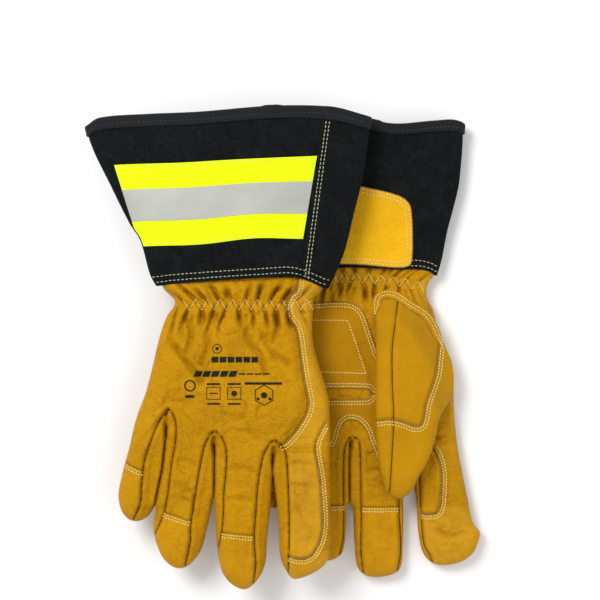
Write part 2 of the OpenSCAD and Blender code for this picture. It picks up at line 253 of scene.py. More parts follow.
def noise(x, y, size, seed):
    """Smooth noise from -1 to 1 with features about `size` mm across."""
    table = np.random.default_rng(seed).uniform(-1, 1, (64, 64))
    turn = 0.6 + seed
    u = (x * math.cos(turn) - y * math.sin(turn)) / size + 1000
    v = (x * math.sin(turn) + y * math.cos(turn)) / size + 1000
    i, j = np.floor(u).astype(int), np.floor(v).astype(int)
    fu, fv = u - i, v - j
    fu, fv = fu**3 * (fu * (6 * fu - 15) + 10), fv**3 * (fv * (6 * fv - 15) + 10)
    corner = lambda a, b: table[(i + a) % 64, (j + b) % 64]
    low = corner(0, 0) * (1 - fu) + corner(1, 0) * fu
    high = corner(0, 1) * (1 - fu) + corner(1, 1) * fu
    return low * (1 - fv) + high * fv


def creases(x, y, size, seed, width=0.12):
    """Thin winding valleys, from 0 to 1 at their bottoms."""
    field = noise(x, y, size, seed) + 0.35 * noise(x, y, size * 0.45, seed + 1)
    return np.exp(-(field / width)**2) * (0.55 + 0.45 * noise(x, y, size * 1.3, seed + 2))


def hump(x):
    """1 at 0, falling to almost nothing beyond 2 on both sides."""
    return np.exp(-x * x)


def smooth_step(x):
    t = np.clip(x, 0, 1)
    return t * t * (3 - 2 * t)


def rays(x, y, centre, angles, reach, width=1.3):
    """Creases that run out from a point at the given angles in degrees."""
    dx, dy = x - centre[0], y - centre[1]
    total = np.zeros_like(x)
    for k, angle in enumerate(angles):
        c, s = math.cos(math.radians(angle)), math.sin(math.radians(angle))
        along, across = dx * c + dy * s, -dx * s + dy * c
        bend = 0.02 * along * along / reach * (1 if k % 2 else -1)
        total += hump((across + bend) / (width * (1 + along / reach * 0.6))) * smooth_step(along / 4) \
            * hump(np.clip(along, 0, None) / reach)
    return total


# ---------------------------------------------------------------- mesh tools

def surface_net(field, origin, step):
    """Quads on the zero level of a 3-D field, positive inside: one vertex in each crossed cell."""
    solid = field > 0
    n = np.array(field.shape) - 1
    block = lambda a, o: a[o[0]:o[0] + n[0], o[1]:o[1] + n[1], o[2]:o[2] + n[2]]
    corners = [(i, j, k) for i in (0, 1) for j in (0, 1) for k in (0, 1)]
    count = sum(block(solid, c).astype(np.int8) for c in corners)
    cells = np.argwhere((count > 0) & (count < 8))
    number = -np.ones(n, int)
    number[tuple(cells.T)] = np.arange(len(cells))
    total, hits = np.zeros((len(cells), 3)), np.zeros(len(cells))
    for a in corners:
        for axis in range(3):
            if a[axis]:
                continue
            b = list(a)
            b[axis] = 1
            fa = field[tuple((cells + a).T)]
            fb = field[tuple((cells + b).T)]
            cross = (fa > 0) != (fb > 0)
            t = np.where(cross, fa / np.where(cross, fa - fb, 1), 0)
            point = np.array(a, float) + t[:, None] * (np.array(b) - a)
            total += np.where(cross[:, None], point, 0)
            hits += cross
    verts = origin + step * (cells + total / hits[:, None])
    faces = []
    for axis in range(3):
        ahead = np.roll(solid, -1, axis)
        edge = solid != ahead
        low, high = [1, 1, 1], [s - 1 for s in field.shape]
        low[axis] = 0
        keep = np.zeros_like(edge)
        keep[low[0]:high[0], low[1]:high[1], low[2]:high[2]] = True
        p = np.argwhere(edge & keep)
        u, v = np.zeros(3, int), np.zeros(3, int)
        u[(axis + 1) % 3] = 1
        v[(axis + 2) % 3] = 1
        quad = np.stack([number[tuple((p - a).T)] for a in (0 * u, u, u + v, v)], 1)
        flip = ~solid[tuple(p.T)]
        quad[flip] = quad[flip][:, ::-1]
        faces.append(quad)
    return verts, np.concatenate(faces)


def vertex_normals(verts, quads):
    """The smooth normal at each vertex of a quad mesh."""
    normal = np.cross(verts[quads[:, 2]] - verts[quads[:, 0]], verts[quads[:, 3]] - verts[quads[:, 1]])
    total = np.zeros_like(verts)
    for k in range(4):
        np.add.at(total, quads[:, k], normal)
    return total / np.maximum(np.linalg.norm(total, axis=1), 1e-12)[:, None]


def rim_edges(faces):
    """Directed edges that only one face uses."""
    sides = np.concatenate([np.stack([faces[:, k], faces[:, (k + 1) % faces.shape[1]]], 1)
                            for k in range(faces.shape[1])])
    key = np.sort(sides, 1)
    _, first, counts = np.unique(key, axis=0, return_index=True, return_counts=True)
    return sides[first[counts == 1]]


def build(name, verts, polys, material, normals=None):
    """A mesh object from points in metres."""
    mesh = bpy.data.meshes.new(name)
    mesh.from_pydata(np.asarray(verts).tolist(), [], polys)
    mesh.validate()
    mesh.polygons.foreach_set("use_smooth", [True] * len(mesh.polygons))
    obj = bpy.data.objects.new(name, mesh)
    bpy.context.scene.collection.objects.link(obj)
    mesh.materials.append(material)
    if normals is not None:
        index = np.zeros(len(mesh.loops), int)
        mesh.loops.foreach_get("vertex_index", index)
        mesh.normals_split_custom_set(normals[index].astype(np.float32).tolist())
    mesh.update()
    return obj


# ---------------------------------------------------------------- materials

def mixed(colour, factor):
    """A colour made darker or paler, with its alpha."""
    return tuple(min(c * factor, 1) for c in colour) + (1,)


class Shader:
    """A node material built a line at a time, with coordinates in millimetres."""

    def __init__(self, name, base, rough, sheen=0.0, sheen_rough=0.5, specular=0.5, metal=0.0):
        self.mat = bpy.data.materials.new(name)
        self.mat.use_nodes = True
        self.tree = self.mat.node_tree
        self.bsdf = self.tree.nodes["Principled BSDF"]
        self.bsdf.inputs["Base Color"].default_value = (*base, 1)
        self.bsdf.inputs["Roughness"].default_value = rough
        self.bsdf.inputs["Sheen Weight"].default_value = sheen
        self.bsdf.inputs["Sheen Roughness"].default_value = sheen_rough
        self.bsdf.inputs["Specular IOR Level"].default_value = specular
        self.bsdf.inputs["Metallic"].default_value = metal
        warm = max(base)
        self.bsdf.inputs["Specular Tint"].default_value = (*(0.25 + 0.75 * c / warm for c in base), 1)
        coords = self.node("ShaderNodeTexCoord")
        scale = self.node("ShaderNodeVectorMath", operation="SCALE")
        self.link(coords.outputs["Object"], scale.inputs[0])
        scale.inputs["Scale"].default_value = 1 / MM
        self.place = scale.outputs[0]

    def node(self, kind, **settings):
        """A new node with its settings."""
        n = self.tree.nodes.new(kind)
        for key, value in settings.items():
            setattr(n, key, value)
        return n

    def link(self, a, b):
        self.tree.links.new(a, b)

    def noise(self, size, detail=3.0, rough=0.55, stretch=None, distortion=0.0):
        n = self.node("ShaderNodeTexNoise")
        n.inputs["Scale"].default_value = 1 / size
        n.inputs["Detail"].default_value = detail
        n.inputs["Roughness"].default_value = rough
        n.inputs["Distortion"].default_value = distortion
        self.link(self.stretched(stretch), n.inputs["Vector"])
        return n.outputs["Fac"]

    def stretched(self, stretch):
        if stretch is None:
            return self.place
        m = self.node("ShaderNodeVectorMath", operation="MULTIPLY")
        self.link(self.place, m.inputs[0])
        m.inputs[1].default_value = stretch
        return m.outputs[0]

    def cells(self, size, wobble=None):
        """Distance to the edges of irregular cells about `size` mm across."""
        n = self.node("ShaderNodeTexVoronoi", feature="DISTANCE_TO_EDGE")
        n.inputs["Scale"].default_value = 1 / size
        place = self.place
        if wobble is not None:
            add = self.node("ShaderNodeVectorMath", operation="ADD")
            self.link(self.place, add.inputs[0])
            self.link(wobble, add.inputs[1])
            place = add.outputs[0]
        self.link(place, n.inputs["Vector"])
        return n.outputs["Distance"]

    def wobble(self, size, amount):
        """An offset in mm that drifts about, to bend the cells of a texture."""
        n = self.node("ShaderNodeTexNoise")
        n.inputs["Scale"].default_value = 1 / size
        self.link(self.place, n.inputs["Vector"])
        scale = self.node("ShaderNodeVectorMath", operation="SCALE")
        self.link(n.outputs["Color"], scale.inputs[0])
        scale.inputs["Scale"].default_value = amount
        return scale.outputs[0]

    def ridges(self, size, width, stretch=None):
        """1 along thin winding lines, from where a noise crosses its middle."""
        n = self.noise(size, 3, 0.5, stretch, 0.4)
        return self.ramp(self.maths("ABSOLUTE", self.maths("SUBTRACT", n, 0.5)), 0, width, 1, 0)

    def wave(self, size, direction):
        """Bands that repeat every `size` mm. The texture's own bands are 0.314 apart at scale 1."""
        n = self.node("ShaderNodeTexWave", wave_type="BANDS", bands_direction=direction)
        n.inputs["Scale"].default_value = 0.314 / size
        self.link(self.place, n.inputs["Vector"])
        return n.outputs["Fac"]

    def maths(self, operation, a, b=None):
        n = self.node("ShaderNodeMath", operation=operation)
        for socket, value in zip(n.inputs, (a, b)):
            if value is None:
                continue
            if isinstance(value, (int, float)):
                socket.default_value = value
            else:
                self.link(value, socket)
        return n.outputs[0]

    def ramp(self, value, lo, hi, low_out=0.0, high_out=1.0):
        """Maps lo..hi to low_out..high_out, held at both ends."""
        n = self.node("ShaderNodeMapRange")
        self.link(value, n.inputs["Value"])
        for key, v in (("From Min", lo), ("From Max", hi), ("To Min", low_out), ("To Max", high_out)):
            n.inputs[key].default_value = v
        return n.outputs["Result"]

    def tint(self, value, colour):
        """Mixes the base colour towards another where value is 1."""
        n = self.node("ShaderNodeMix", data_type="RGBA")
        self.link(value, n.inputs["Factor"])
        link = self.bsdf.inputs["Base Color"].links
        if link:
            self.link(link[0].from_socket, n.inputs["A"])
        else:
            n.inputs["A"].default_value = self.bsdf.inputs["Base Color"].default_value
        n.inputs["B"].default_value = colour
        self.link(n.outputs["Result"], self.bsdf.inputs["Base Color"])

    def rough(self, value, low, high):
        self.link(self.ramp(value, 0, 1, low, high), self.bsdf.inputs["Roughness"])

    def bump(self, value, depth):
        """Adds relief: depth is in mm."""
        n = self.node("ShaderNodeBump")
        n.inputs["Strength"].default_value = 1
        n.inputs["Distance"].default_value = depth * MM
        self.link(value, n.inputs["Height"])
        link = self.bsdf.inputs["Normal"].links
        if link:
            self.link(link[0].from_socket, n.inputs["Normal"])
        self.link(n.outputs["Normal"], self.bsdf.inputs["Normal"])


def leather_material(name, base, grain=1.0):
    """Soft leather: pebbled grain, fine wrinkles, drifting colour, painted shade in valleys and painted
    highlights on ridges.
    """
    s = Shader(name, base, 0.5, specular=0.25)
    s.bsdf.inputs["Specular Tint"].default_value = (1, 0.62, 0.10, 1)
    s.tint(s.ramp(s.noise(34, 2), 0.35, 0.68), mixed(base, 0.84))
    s.tint(s.ramp(s.noise(11, 4, distortion=0.6), 0.5, 0.75, 0, 0.35), mixed(base, 1.13))
    s.tint(s.ramp(s.cells(1.0), 0.0, 0.09, 0.14, 0), mixed(base, 0.55))
    tone = s.node("ShaderNodeAttribute", attribute_name="tone").outputs["Fac"]
    # tone below 0 is painted shade in hollows, folds, creases and seams; above 0 it is a painted highlight on
    # ridges.
    s.tint(s.ramp(tone, 0, -1, 0, 0.92), (base[0] * 0.30, base[1] * 0.22, base[2] * 0.15, 1))
    s.tint(s.ramp(tone, 0, 1, 0, 0.35), (min(base[0] * 1.28, 1), base[1] * 1.28, base[2] * 1.6, 1))
    s.tint(s.ramp(s.noise(0.55, 2), 0.62, 0.75, 0, 0.14), mixed(base, 0.6))
    wrinkles = s.ridges(7.0, 0.03, (1, 2.2, 1))
    # Painted shade along the wrinkle lines, which the bump below sinks as valleys.
    s.tint(s.ramp(wrinkles, 0, 1, 0, 0.10 * grain), mixed(base, 0.6))
    s.rough(s.noise(7, 3), 0.42, 0.62)
    s.bump(s.noise(5.5, 4, distortion=0.9), 0.55 * grain)
    s.bump(s.noise(2.6, 3, 0.6, (1, 1.5, 1), 0.5), 0.80 * grain)
    pebbles = s.cells(2.7, wobble=s.wobble(4, 3.5))
    s.tint(s.ramp(pebbles, 0, 0.10, 0.13 * grain, 0), mixed(base, 0.6))
    s.bump(s.ramp(pebbles, 0, 0.22), 0.26 * grain)
    s.bump(s.maths("SUBTRACT", 1.0, wrinkles), 0.10 * grain)
    s.bump(s.ramp(s.cells(1.25), 0, 0.16), 0.08 * grain)
    s.bump(s.noise(0.5, 3), 0.06 * grain)
    return s.mat


def rough_edge_material(name, base, sheen=0.25):
    """The cut edge and the flesh side of leather: fuzzy fibres, paler and mottled."""
    s = Shader(name, base, 0.85, sheen=sheen, specular=0.15)
    s.tint(s.ramp(s.noise(0.45, 4), 0.35, 0.7), mixed(base, 0.5))
    s.tint(s.ramp(s.noise(2.2, 3), 0.45, 0.75, 0, 0.6), mixed(base, 1.25))
    s.bump(s.noise(0.4, 4), 0.3)
    return s.mat


def suede_material():
    """Brushed black suede: short nap lying different ways, dusty paler hairs, slight blotches."""
    base = (0.0045, 0.0056, 0.0054)
    s = Shader("suede", base, 0.95, sheen=0.03, sheen_rough=0.6, specular=0.05)
    s.bsdf.inputs["Sheen Tint"].default_value = (0.6, 0.72, 0.75, 1)
    s.tint(s.ramp(s.noise(16, 3, distortion=0.8), 0.4, 0.7), (0.0085, 0.0102, 0.0100, 1))
    s.tint(s.ramp(s.noise(3.2, 4, 0.65), 0.46, 0.66, 0, 0.75), (0.0015, 0.0022, 0.0021, 1))
    s.tint(s.ramp(s.noise(0.7, 4, 0.7), 0.5, 0.72, 0, 0.7), (0.018, 0.021, 0.020, 1))
    s.tint(s.ramp(s.noise(0.9, 2, stretch=(1, 0.25, 1)), 0.68, 0.8, 0, 0.35), (0.06, 0.065, 0.07, 1))
    s.bump(s.noise(0.45, 4, 0.7), 0.28)
    s.bump(s.noise(9, 3), 0.5)
    return s.mat


def weave_material(name, base, pitch, dark, rough=0.8, depth=0.16, sheen=0.2):
    """A plain woven tape or cloth: warp and weft threads crossing at the given pitch in mm."""
    s = Shader(name, base, rough, sheen=sheen, specular=0.25)
    warp, weft = s.wave(pitch, "X"), s.wave(pitch, "Y")
    over = s.maths("MULTIPLY", warp, weft)
    under = s.maths("MULTIPLY", s.maths("SUBTRACT", 1.0, warp), s.maths("SUBTRACT", 1.0, weft))
    cloth = s.maths("ADD", over, under)
    s.tint(s.ramp(cloth, 0.15, 0.6, 0.75, 0), (*dark, 1))
    s.tint(s.ramp(s.noise(12, 3), 0.4, 0.75, 0, 0.4), mixed(base, 0.82))
    s.bump(cloth, depth)
    s.bump(s.noise(0.35, 3), 0.06)
    return s.mat


def silver_material():
    """Glass-bead tape: an even grey with a fine sparkle, faint creases and scuffs."""
    base = (0.40, 0.405, 0.365)
    s = Shader("tape_silver", base, 0.42, specular=0.4, metal=0.2)
    s.tint(s.ramp(s.noise(0.3, 2), 0.4, 0.7), mixed(base, 1.18))
    s.tint(s.ramp(s.noise(26, 4, stretch=(0.5, 1, 1)), 0.45, 0.8, 0, 0.5), mixed(base, 0.84))
    creased = s.cells(7, wobble=s.node("ShaderNodeTexNoise").outputs["Color"])
    s.tint(s.ramp(creased, 0, 0.02, 0.22, 0), mixed(base, 0.7))
    s.rough(s.noise(4, 3), 0.34, 0.5)
    s.bump(s.noise(0.3, 1), 0.03)
    s.bump(s.noise(18, 2), 0.4)
    return s.mat


def thread_material(name, base, pale):
    """Thick sewing thread: twisted plies and a waxy sheen."""
    s = Shader(name, base, 0.5, sheen=0.1, specular=0.3)
    s.tint(s.ramp(s.wave(0.35, "DIAGONAL"), 0.3, 0.8, 0.6, 0), mixed(base, 0.62))
    s.tint(s.ramp(s.noise(15, 2), 0.45, 0.7, 0, 0.5), (*pale, 1))
    s.bump(s.wave(0.35, "DIAGONAL"), 0.08)
    return s.mat


def ink_material():
    """Printed ink that has cracked and worn a little over the grain."""
    s = Shader("ink", (0.006, 0.009, 0.007), 0.6, specular=0.12)
    s.tint(s.ramp(s.noise(0.6, 3), 0.58, 0.7, 0, 0.7), (0.20, 0.12, 0.03, 1))
    s.bump(s.ramp(s.cells(1.25), 0, 0.16), 0.05)
    return s.mat


GOLD = (0.548, 0.262, 0.0042)
WRAP = (0.585, 0.292, 0.0125)
MAT = dict(
    gold=leather_material("leather_gold", GOLD, 0.85),
    smooth=leather_material("leather_smooth", (0.50, 0.239, 0.0039), 0.4),
    wrap=leather_material("leather_wrap", WRAP, 0.5),
    patch=leather_material("leather_patch", (0.56, 0.268, 0.0055), 0.6),
    # A darker copy of the patch leather, painted shadow where the right glove shades the left palm; the right
    # glove's pads use it too.
    shaded_pad=leather_material("leather_pad_shaded", (0.445, 0.204, 0.0036), 0.6),
    # Brighter than the other patch leathers: partly its own paler colour, partly painted light that lifts it
    # where the right cuff shades it.
    cuff_patch=leather_material("leather_cuff_patch", (0.84, 0.445, 0.010), 0.6),
    # A near-black strip laid in the seam grooves as painted shade.
    seam=rough_edge_material("seam_shadow", (0.075, 0.030, 0.0015), 0.0),
    edge=rough_edge_material("leather_edge", (0.33, 0.175, 0.026)),
    suede=suede_material(),
    binding=weave_material("binding", (0.0085, 0.0095, 0.0105), 0.8, (0.003, 0.003, 0.0035), 0.8, sheen=0.05),
    yellow=weave_material("tape_yellow", (0.80, 0.97, 0.003), 0.55, (0.55, 0.70, 0.001), 0.6, 0.07, 0.1),
    silver=silver_material(),
    thread=thread_material("thread", (0.86, 0.69, 0.20), (0.90, 0.78, 0.34)),
    thread_cuff=thread_material("thread_cuff", (0.50, 0.50, 0.30), (0.60, 0.61, 0.42)),
    thread_rim=thread_material("thread_rim", (0.020, 0.022, 0.024), (0.03, 0.033, 0.035)),
    elastic=weave_material("elastic", (0.72, 0.70, 0.64), 1.1, (0.40, 0.38, 0.33), 0.85),
    lining=weave_material("lining", (0.60, 0.56, 0.46), 1.4, (0.34, 0.31, 0.25), 0.95, 0.3),
    ink=ink_material(),
)


# ---------------------------------------------------------------- the hand of a glove

def wrist_of(side):
    """A glove's origin in metres, and half its hand's thickness in mm, from its wrist elastic."""
    lo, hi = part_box(side + "_wrist_elastic")
    return np.array([(lo.x + hi.x) / 2, hi.y, (lo.z + hi.z) / 2]), (hi.z - lo.z) / 2 / MM + LEATHER


def joint(name):
    """A joint's record in the frame."""
    return next(j for j in frame["joints"] if j["name"] == name)


def bilinear(grid, x, y, x0, y0):
    """The value of a grid at any point, from its four neighbours."""
    u = np.clip((np.asarray(x) - x0) / GRID, 0, grid.shape[0] - 1.001)
    v = np.clip((np.asarray(y) - y0) / GRID, 0, grid.shape[1] - 1.001)
    i, j = u.astype(int), v.astype(int)
    fu, fv = u - i, v - j
    return (grid[i, j] * (1 - fu) * (1 - fv) + grid[i + 1, j] * fu * (1 - fv)
            + grid[i, j + 1] * (1 - fu) * fv + grid[i + 1, j + 1] * fu * fv)


class Body:
    """A leather form over an outline: flat in the middle, rounded at its rim, with relief on top."""
    power = 2.4

    def __init__(self, loop, x_range, y_range, radius, top, bottom, touch=()):
        """top and bottom give the half thickness at (x, y); top also gives the painted light there, painted
        shade below 0 and a painted highlight above.

        touch lists lines, each with its stretch of y, where two neighbours bulge until they meet."""
        self.loop = loop
        self.x = np.arange(*x_range, GRID)
        self.y = np.arange(*y_range, GRID)
        X, Y = np.meshgrid(self.x, self.y, indexing="ij")
        flat = np.stack([X.ravel(), Y.ravel()], 1)
        self.d = signed_distance(flat, loop).reshape(X.shape)
        for line, start, end in touch:
            away = np.abs(X - x_at(line, Y))
            swell = smooth_step((start - Y) / 5) * smooth_step((Y - end) / 9)
            self.d += 5.0 * hump(away / 4.2) * swell
            self.d[(away <= GRID / 2) & (swell > 0)] = -0.02
        self.radius = radius
        self.top, self.tone = top(X, Y, self.d)
        self.top = np.maximum(self.top, 0.8)
        self.bottom = np.maximum(bottom(X, Y, self.d), 0.8)

    def at(self, grid, x, y):
        return bilinear(grid, x, y, self.x[0], self.y[0])

    def profile(self, d):
        """The share of its full height that the form has at a distance from its rim."""
        s = np.clip(d / self.radius, 0, 1)
        return (1 - (1 - s)**self.power)**(1 / self.power)

    def z(self, x, y):
        return self.at(self.top, x, y) * self.profile(self.at(self.d, x, y))

    def z_below(self, x, y):
        return -self.at(self.bottom, x, y) * self.profile(self.at(self.d, x, y))

    def mesh(self):
        """The whole form as quads."""
        step = GRID
        half = max(self.top.max(), self.bottom.max()) + 2 * step
        z = np.arange(-half, half, step)
        s = np.minimum(self.d / self.radius, 1)
        side = np.clip(1 - s, 0, 3)**self.power
        thick = np.where(z > 0, self.top[..., None], self.bottom[..., None])
        field = 1 - (side[..., None] + (np.abs(z) / thick)**self.power)**(1 / self.power)
        return surface_net(field.astype(np.float32), np.array([self.x[0], self.y[0], z[0]]), step)


def groove(X, Y, line, width):
    """1 along a line, falling off over a width."""
    return hump(near_field(X, Y, line) / width)


def near_field(X, Y, line, reach=9):
    """Distance to a line, worked out only near it, and more than FAR elsewhere."""
    flat = np.stack([X.ravel(), Y.ravel()], 1)
    lo, hi = line.min(0) - reach, line.max(0) + reach
    close = ((flat > lo) & (flat < hi)).all(1)
    out = np.full(len(flat), FAR + 100)
    if close.any():
        out[close] = nearest(flat[close], line)[0]
    return out.reshape(X.shape)


def x_at(line, y):
    """x of a line that runs mostly along Y, at the given y."""
    p = line[np.argsort(line[:, 1])]
    return np.interp(y, p[:, 1], p[:, 0])


def y_at(line, x):
    """y of a line that runs mostly along X, at the given x."""
    p = line[np.argsort(line[:, 0])]
    return np.interp(x, p[:, 0], p[:, 1])


# The middle line between each two fingers, from the crotch to beyond the tips.
GAPS = {
    "right": (run(21.5, -90, 21.5, -230), run(-23.5, -90, -22.7, -133, -23.5, -152, -25, -173, -28, -230),
              run(-58.3, -70, -58.8, -86, -60, -102.5, -61.9, -122.5, -65.4, -138.5, -69, -156, -73, -175,
                  -75, -230)),
    "left": (run(35.5, -100, 35.5, -111, 35.8, -121.5, 36.2, -137, 38, -160, 39.5, -195, 40, -230),
             run(-7.4, -100, -7.4, -114.5, -8.7, -133, -8.7, -152, -8.6, -170, -8.5, -187, -8, -230),
             run(-48.6, -90, -48.6, -102, -49.9, -125, -51.6, -144.5, -53.2, -160, -57, -175, -57, -230)),
}


def finger_at(side, x, y):
    """0 to 3 for the index to the little finger, by which side of the gaps a point is on."""
    return sum((x < x_at(np.array(gap, float), y)).astype(int) for gap in GAPS[side])


def gather_folds(g, X, Y):
    """Folds that the wrist elastic draws in: sharp valleys from each turn of its zigzag, ridges between. Also
    returns painted shade for the valleys and painted highlights for the ridges.
    """
    rng = np.random.default_rng(5 if g["back_up"] else 6)
    x0, x1, pitch = g["zigzag"]
    relief, tone = np.zeros_like(X), np.zeros_like(X)
    for k in range(-1, int((x1 - x0) / pitch) + 2):
        for way, start in ((-1, x0 + (k + 0.5) * pitch), (1, x0 + k * pitch)):
            for minor in (0, 1, 2):
                x = start + (rng.uniform(-0.4, 0.4) * pitch if minor else 0)
                length = rng.uniform(15, 34) if way < 0 else rng.uniform(14, 20)
                length *= 0.5 if minor else 1
                fan = 0.30 * x / 45 if way < 0 else 1.15 * x / 45 + (0.12 if x > 0 else -0.12)
                drift = length * (fan + rng.uniform(-0.15, 0.15))
                bow = rng.uniform(-2.6, 2.6) * (0.4 if way > 0 else 1)
                depth = rng.uniform(2.4, 3.8) * (0.42 if minor else 1) * (0.5 if x > x1 - 14 else 1)
                u = ((Y - gather_level(g, x)) * way - (2.6 if not minor else rng.uniform(3, 9))) / length
                inside_fold = np.clip(u, 0, 1)
                px = x + drift * u + bow * np.sin(math.pi * inside_fold)
                width = (1.0 if way < 0 else 1.25) + 1.5 * inside_fold
                shape = smooth_step((u + 0.2) / 0.25) * (1 - smooth_step((u - 0.35) / 0.65))
                valley = shape * hump((X - px) / width)
                relief -= depth * valley
                ridge = shape * hump((np.abs(X - px) - 2.3 * width) / (1.2 * width))
                relief += 0.36 * depth * ridge
                # Painted shade down each valley's middle, and a painted highlight on the ridges beside it.
                dark = 0.80 * shape * hump((X - px) / (0.75 * width))
                tone += (0.22 * ridge - dark) * (0.5 if minor else 1)
    Yg = Y - gather_level(g, X)
    relief += 0.9 * np.cos(2 * math.pi * (X - x0) / pitch) * hump((Yg + 3) / 8) * np.where(X > x1 + 2, 0, 1)
    return relief, tone * (1 if g["back_up"] else 0.6)


def crotch_seams(g):
    """The seam that runs round between two fingers, from one strip to the next."""
    out = []
    for a, b in zip(FINGERS[:-1], FINGERS[1:]):
        start, end = np.array(g["seams"][b][1][0], float), np.array(g["seams"][a][0][0], float)
        out.append(spline([start, (start + end) / 2 + [0, 1.0], end]))
    return out


def hand_relief(g, half):
    """The half thickness of a hand's upper face, and its painted light: painted shade in creases, folds,
    seams and along cut edges, painted highlights on the elastic's fold ridges.
    """
    side = g["side"]
    seams = [spline(line) for pair in g["seams"].values() for line in pair if line]
    rows = {name: spline(line) for name, line in g["tips"].items()}
    wrap = spline(g["wrap"])
    back = g["back_up"]

    def top(X, Y, d):
        inner = smooth_step((d - 4) / 12)
        relief = 0.9 * smooth_step((d - 8) / 14) + 1.0 * smooth_step((d - 22) / 22)
        relief += (0.9 * noise(X, Y, 30, 1) + 0.5 * noise(X, Y, 13, 2) + 0.2 * noise(X, Y, 6, 3)) * inner
        # Wrinkles that cross the back and the fingers.
        fine = creases(X, Y, 17, 11, 0.10) + 0.7 * creases(X, Y * 1.7, 10, 21, 0.11)
        near_knuckles = smooth_step((-Y - 40) / 60)
        relief -= fine * (0.42 + 0.30 * near_knuckles) * inner * (1 if back else 0.7)
        small = creases(X, Y * 1.5, 6.5, 71, 0.16) + 0.8 * creases(X * 1.4, Y, 4.6, 81, 0.18)
        relief -= 0.23 * small * smooth_step(d / 6) * (1 if back else 0.5)
        across = creases(X * 0.45, Y * 1.3, 6, 91, 0.22) * near_knuckles * smooth_step((-Y - 96) / 8)
        between = 1 - np.any([strip_mask(g, name, X, Y) for name in FINGERS], 0)
        relief -= 0.55 * across * between * smooth_step(d / 3)
        # Creases that run from the crotches between the fingers, and folds that the elastic draws in.
        for k, (cx, cy) in enumerate(g["crotches"]):
            fan = rays(X, Y, (cx, cy), (28, 58, 84, 112, 150), 17 if back else 11, 1.5)
            relief -= 1.5 * fan * smooth_step((Y - cy + 6) / 8)
            relief -= 1.6 * hump(np.hypot(X - cx, (Y - cy) * 0.7) / 4.5)
        Yg = Y - gather_level(g, X)
        drawn, shade = gather_folds(g, X, Y)
        relief += drawn * smooth_step((d - 0.5) / 6) * (1 if back else 0.8)
        relief -= 2.3 * hump((Yg - 1) / 10) * smooth_step(d / 6)
        relief += 0.9 * hump((Yg - 12) / 6) * smooth_step(d / 6)
        # Painted shade in the elastic's fold valleys and in the creases, and painted highlights on the fold
        # ridges.
        tone = shade * smooth_step(d / 5) - 0.38 * fine * inner - 0.17 * small - 0.2 * across * between
        # Seams: a valley with a soft roll on each side, and painted shade along the valley. Between two
        # fingers the rolls meet round the crotch, and painted shade runs down where two fingers press
        # together.
        for web in g["webs"]:
            gap = near_field(X, Y, spline(web))
            relief -= 3.6 * hump(gap / 1.5)
            tone -= 0.5 * hump(gap / 0.9)
        for k, start, end in g["touch"]:
            gap = np.abs(X - x_at(np.array(GAPS[side][k], float), Y))
            stretch = smooth_step((start + 3 - Y) / 5) * smooth_step((Y - end) / 9)
            relief -= 3.0 * hump(gap / 1.3) * stretch
            tone -= 0.9 * hump(gap / 0.9) * stretch
        for line in seams + crotch_seams(g):
            gap = near_field(X, Y, line)
            relief += 1.05 * hump((gap - 3.0) / 2.1) - 1.7 * hump(gap / 0.95)
            tone -= 0.45 * hump(gap / 0.6)
        # Fingertip patches and the thumb-side wrap are a second layer of leather with a cut edge, and painted
        # shade along the foot of that edge.
        finger = finger_at(side, X, Y)
        beyond = smooth_step((-Y - 95) / 2)
        for name, line in rows.items():
            k = FINGERS.index(name)
            step = (y_at(line, X) - Y) * (finger == k) * beyond
            edge = np.where(finger == k, near_field(X, Y, line), FAR + 100)
            relief += PATCH_RISE * smooth_step(step + 0.2) * (finger == k) * strip_mask(g, name, X, Y)
            tone -= 0.65 * hump((edge - 0.6) / 0.9) * (step < 0.6) * strip_mask(g, name, X, Y)
        gap = near_field(X, Y, spline(g["seams"]["index"][1]))
        out = index_wrap(g, X, Y)
        started = smooth_step((INDEX_WRAP_START[side] - Y) / 5)
        relief += PATCH_RISE * smooth_step(np.where(out, gap, -gap) + 0.3) * (gap < FAR) * started
        relief += np.where(out & (gap > FAR), PATCH_RISE, 0) * started
        gap = near_field(X, Y, wrap)
        wrapped = (X > x_at(wrap, Y)) & (Y > WRAP_END - 3)
        lift = np.where(wrapped, 1, -1) * gap
        if back:
            fade = smooth_step((Y - WRAP_END + 2) / 5)
            relief += 1.5 * smooth_step((np.clip(lift, -9, 9) + 0.3) / 1.1) * fade
            relief -= 0.9 * hump((lift + 3.0) / 2.6) * fade
            # Painted shade along the foot of the wrap's edge.
            tone -= 0.75 * hump(lift + 0.9) + 0.2 * hump((lift + 3) / 3)
            # The thumb's root pushes the leather up under the wrap.
            relief += 1.6 * hump((X - 52) / 14) * hump((Y + 62) / 40)
            relief -= 1.5 * groove(X, Y, spline(run(66, -88, 60, -96, 57, -104, 56.5, -112)), 1.4)
            relief -= 0.9 * groove(X, Y, spline(run(41, 3, 46, -6, 52, -12)), 2.4)
        # Long soft folds, with painted shade in their valleys.
        for line, depth, width in FOLDS[side]:
            gap = near_field(X, Y, spline(line))
            relief -= 1.8 * depth * hump(gap / (0.85 * width)) * inner
            relief += 0.5 * depth * hump((gap - 2.2 * width) / (1.2 * width)) * inner
            tone -= 0.36 * depth / 1.3 * hump(gap / (width * 0.6)) * inner
        if not back:
            relief += collar_rise(X, Y)
        floor = np.where(Y > -18, half - 4.2, 0.8)
        return np.maximum(half + relief - 0.6, floor), np.clip(tone, -1, 1)

    def bottom(X, Y, d):
        under = 0.25 * noise(X, Y, 26, 5) * smooth_step((d - 4) / 10)
        under -= 2.0 * hump((Y - 2) / 10) * smooth_step(d / 6)
        drawn, _ = gather_folds(g, X + 4, Y)
        under += 0.6 * drawn * smooth_step((d - 1) / 7)
        return np.clip(half - 0.15 + under - 0.2, 2, half)

    return top, bottom


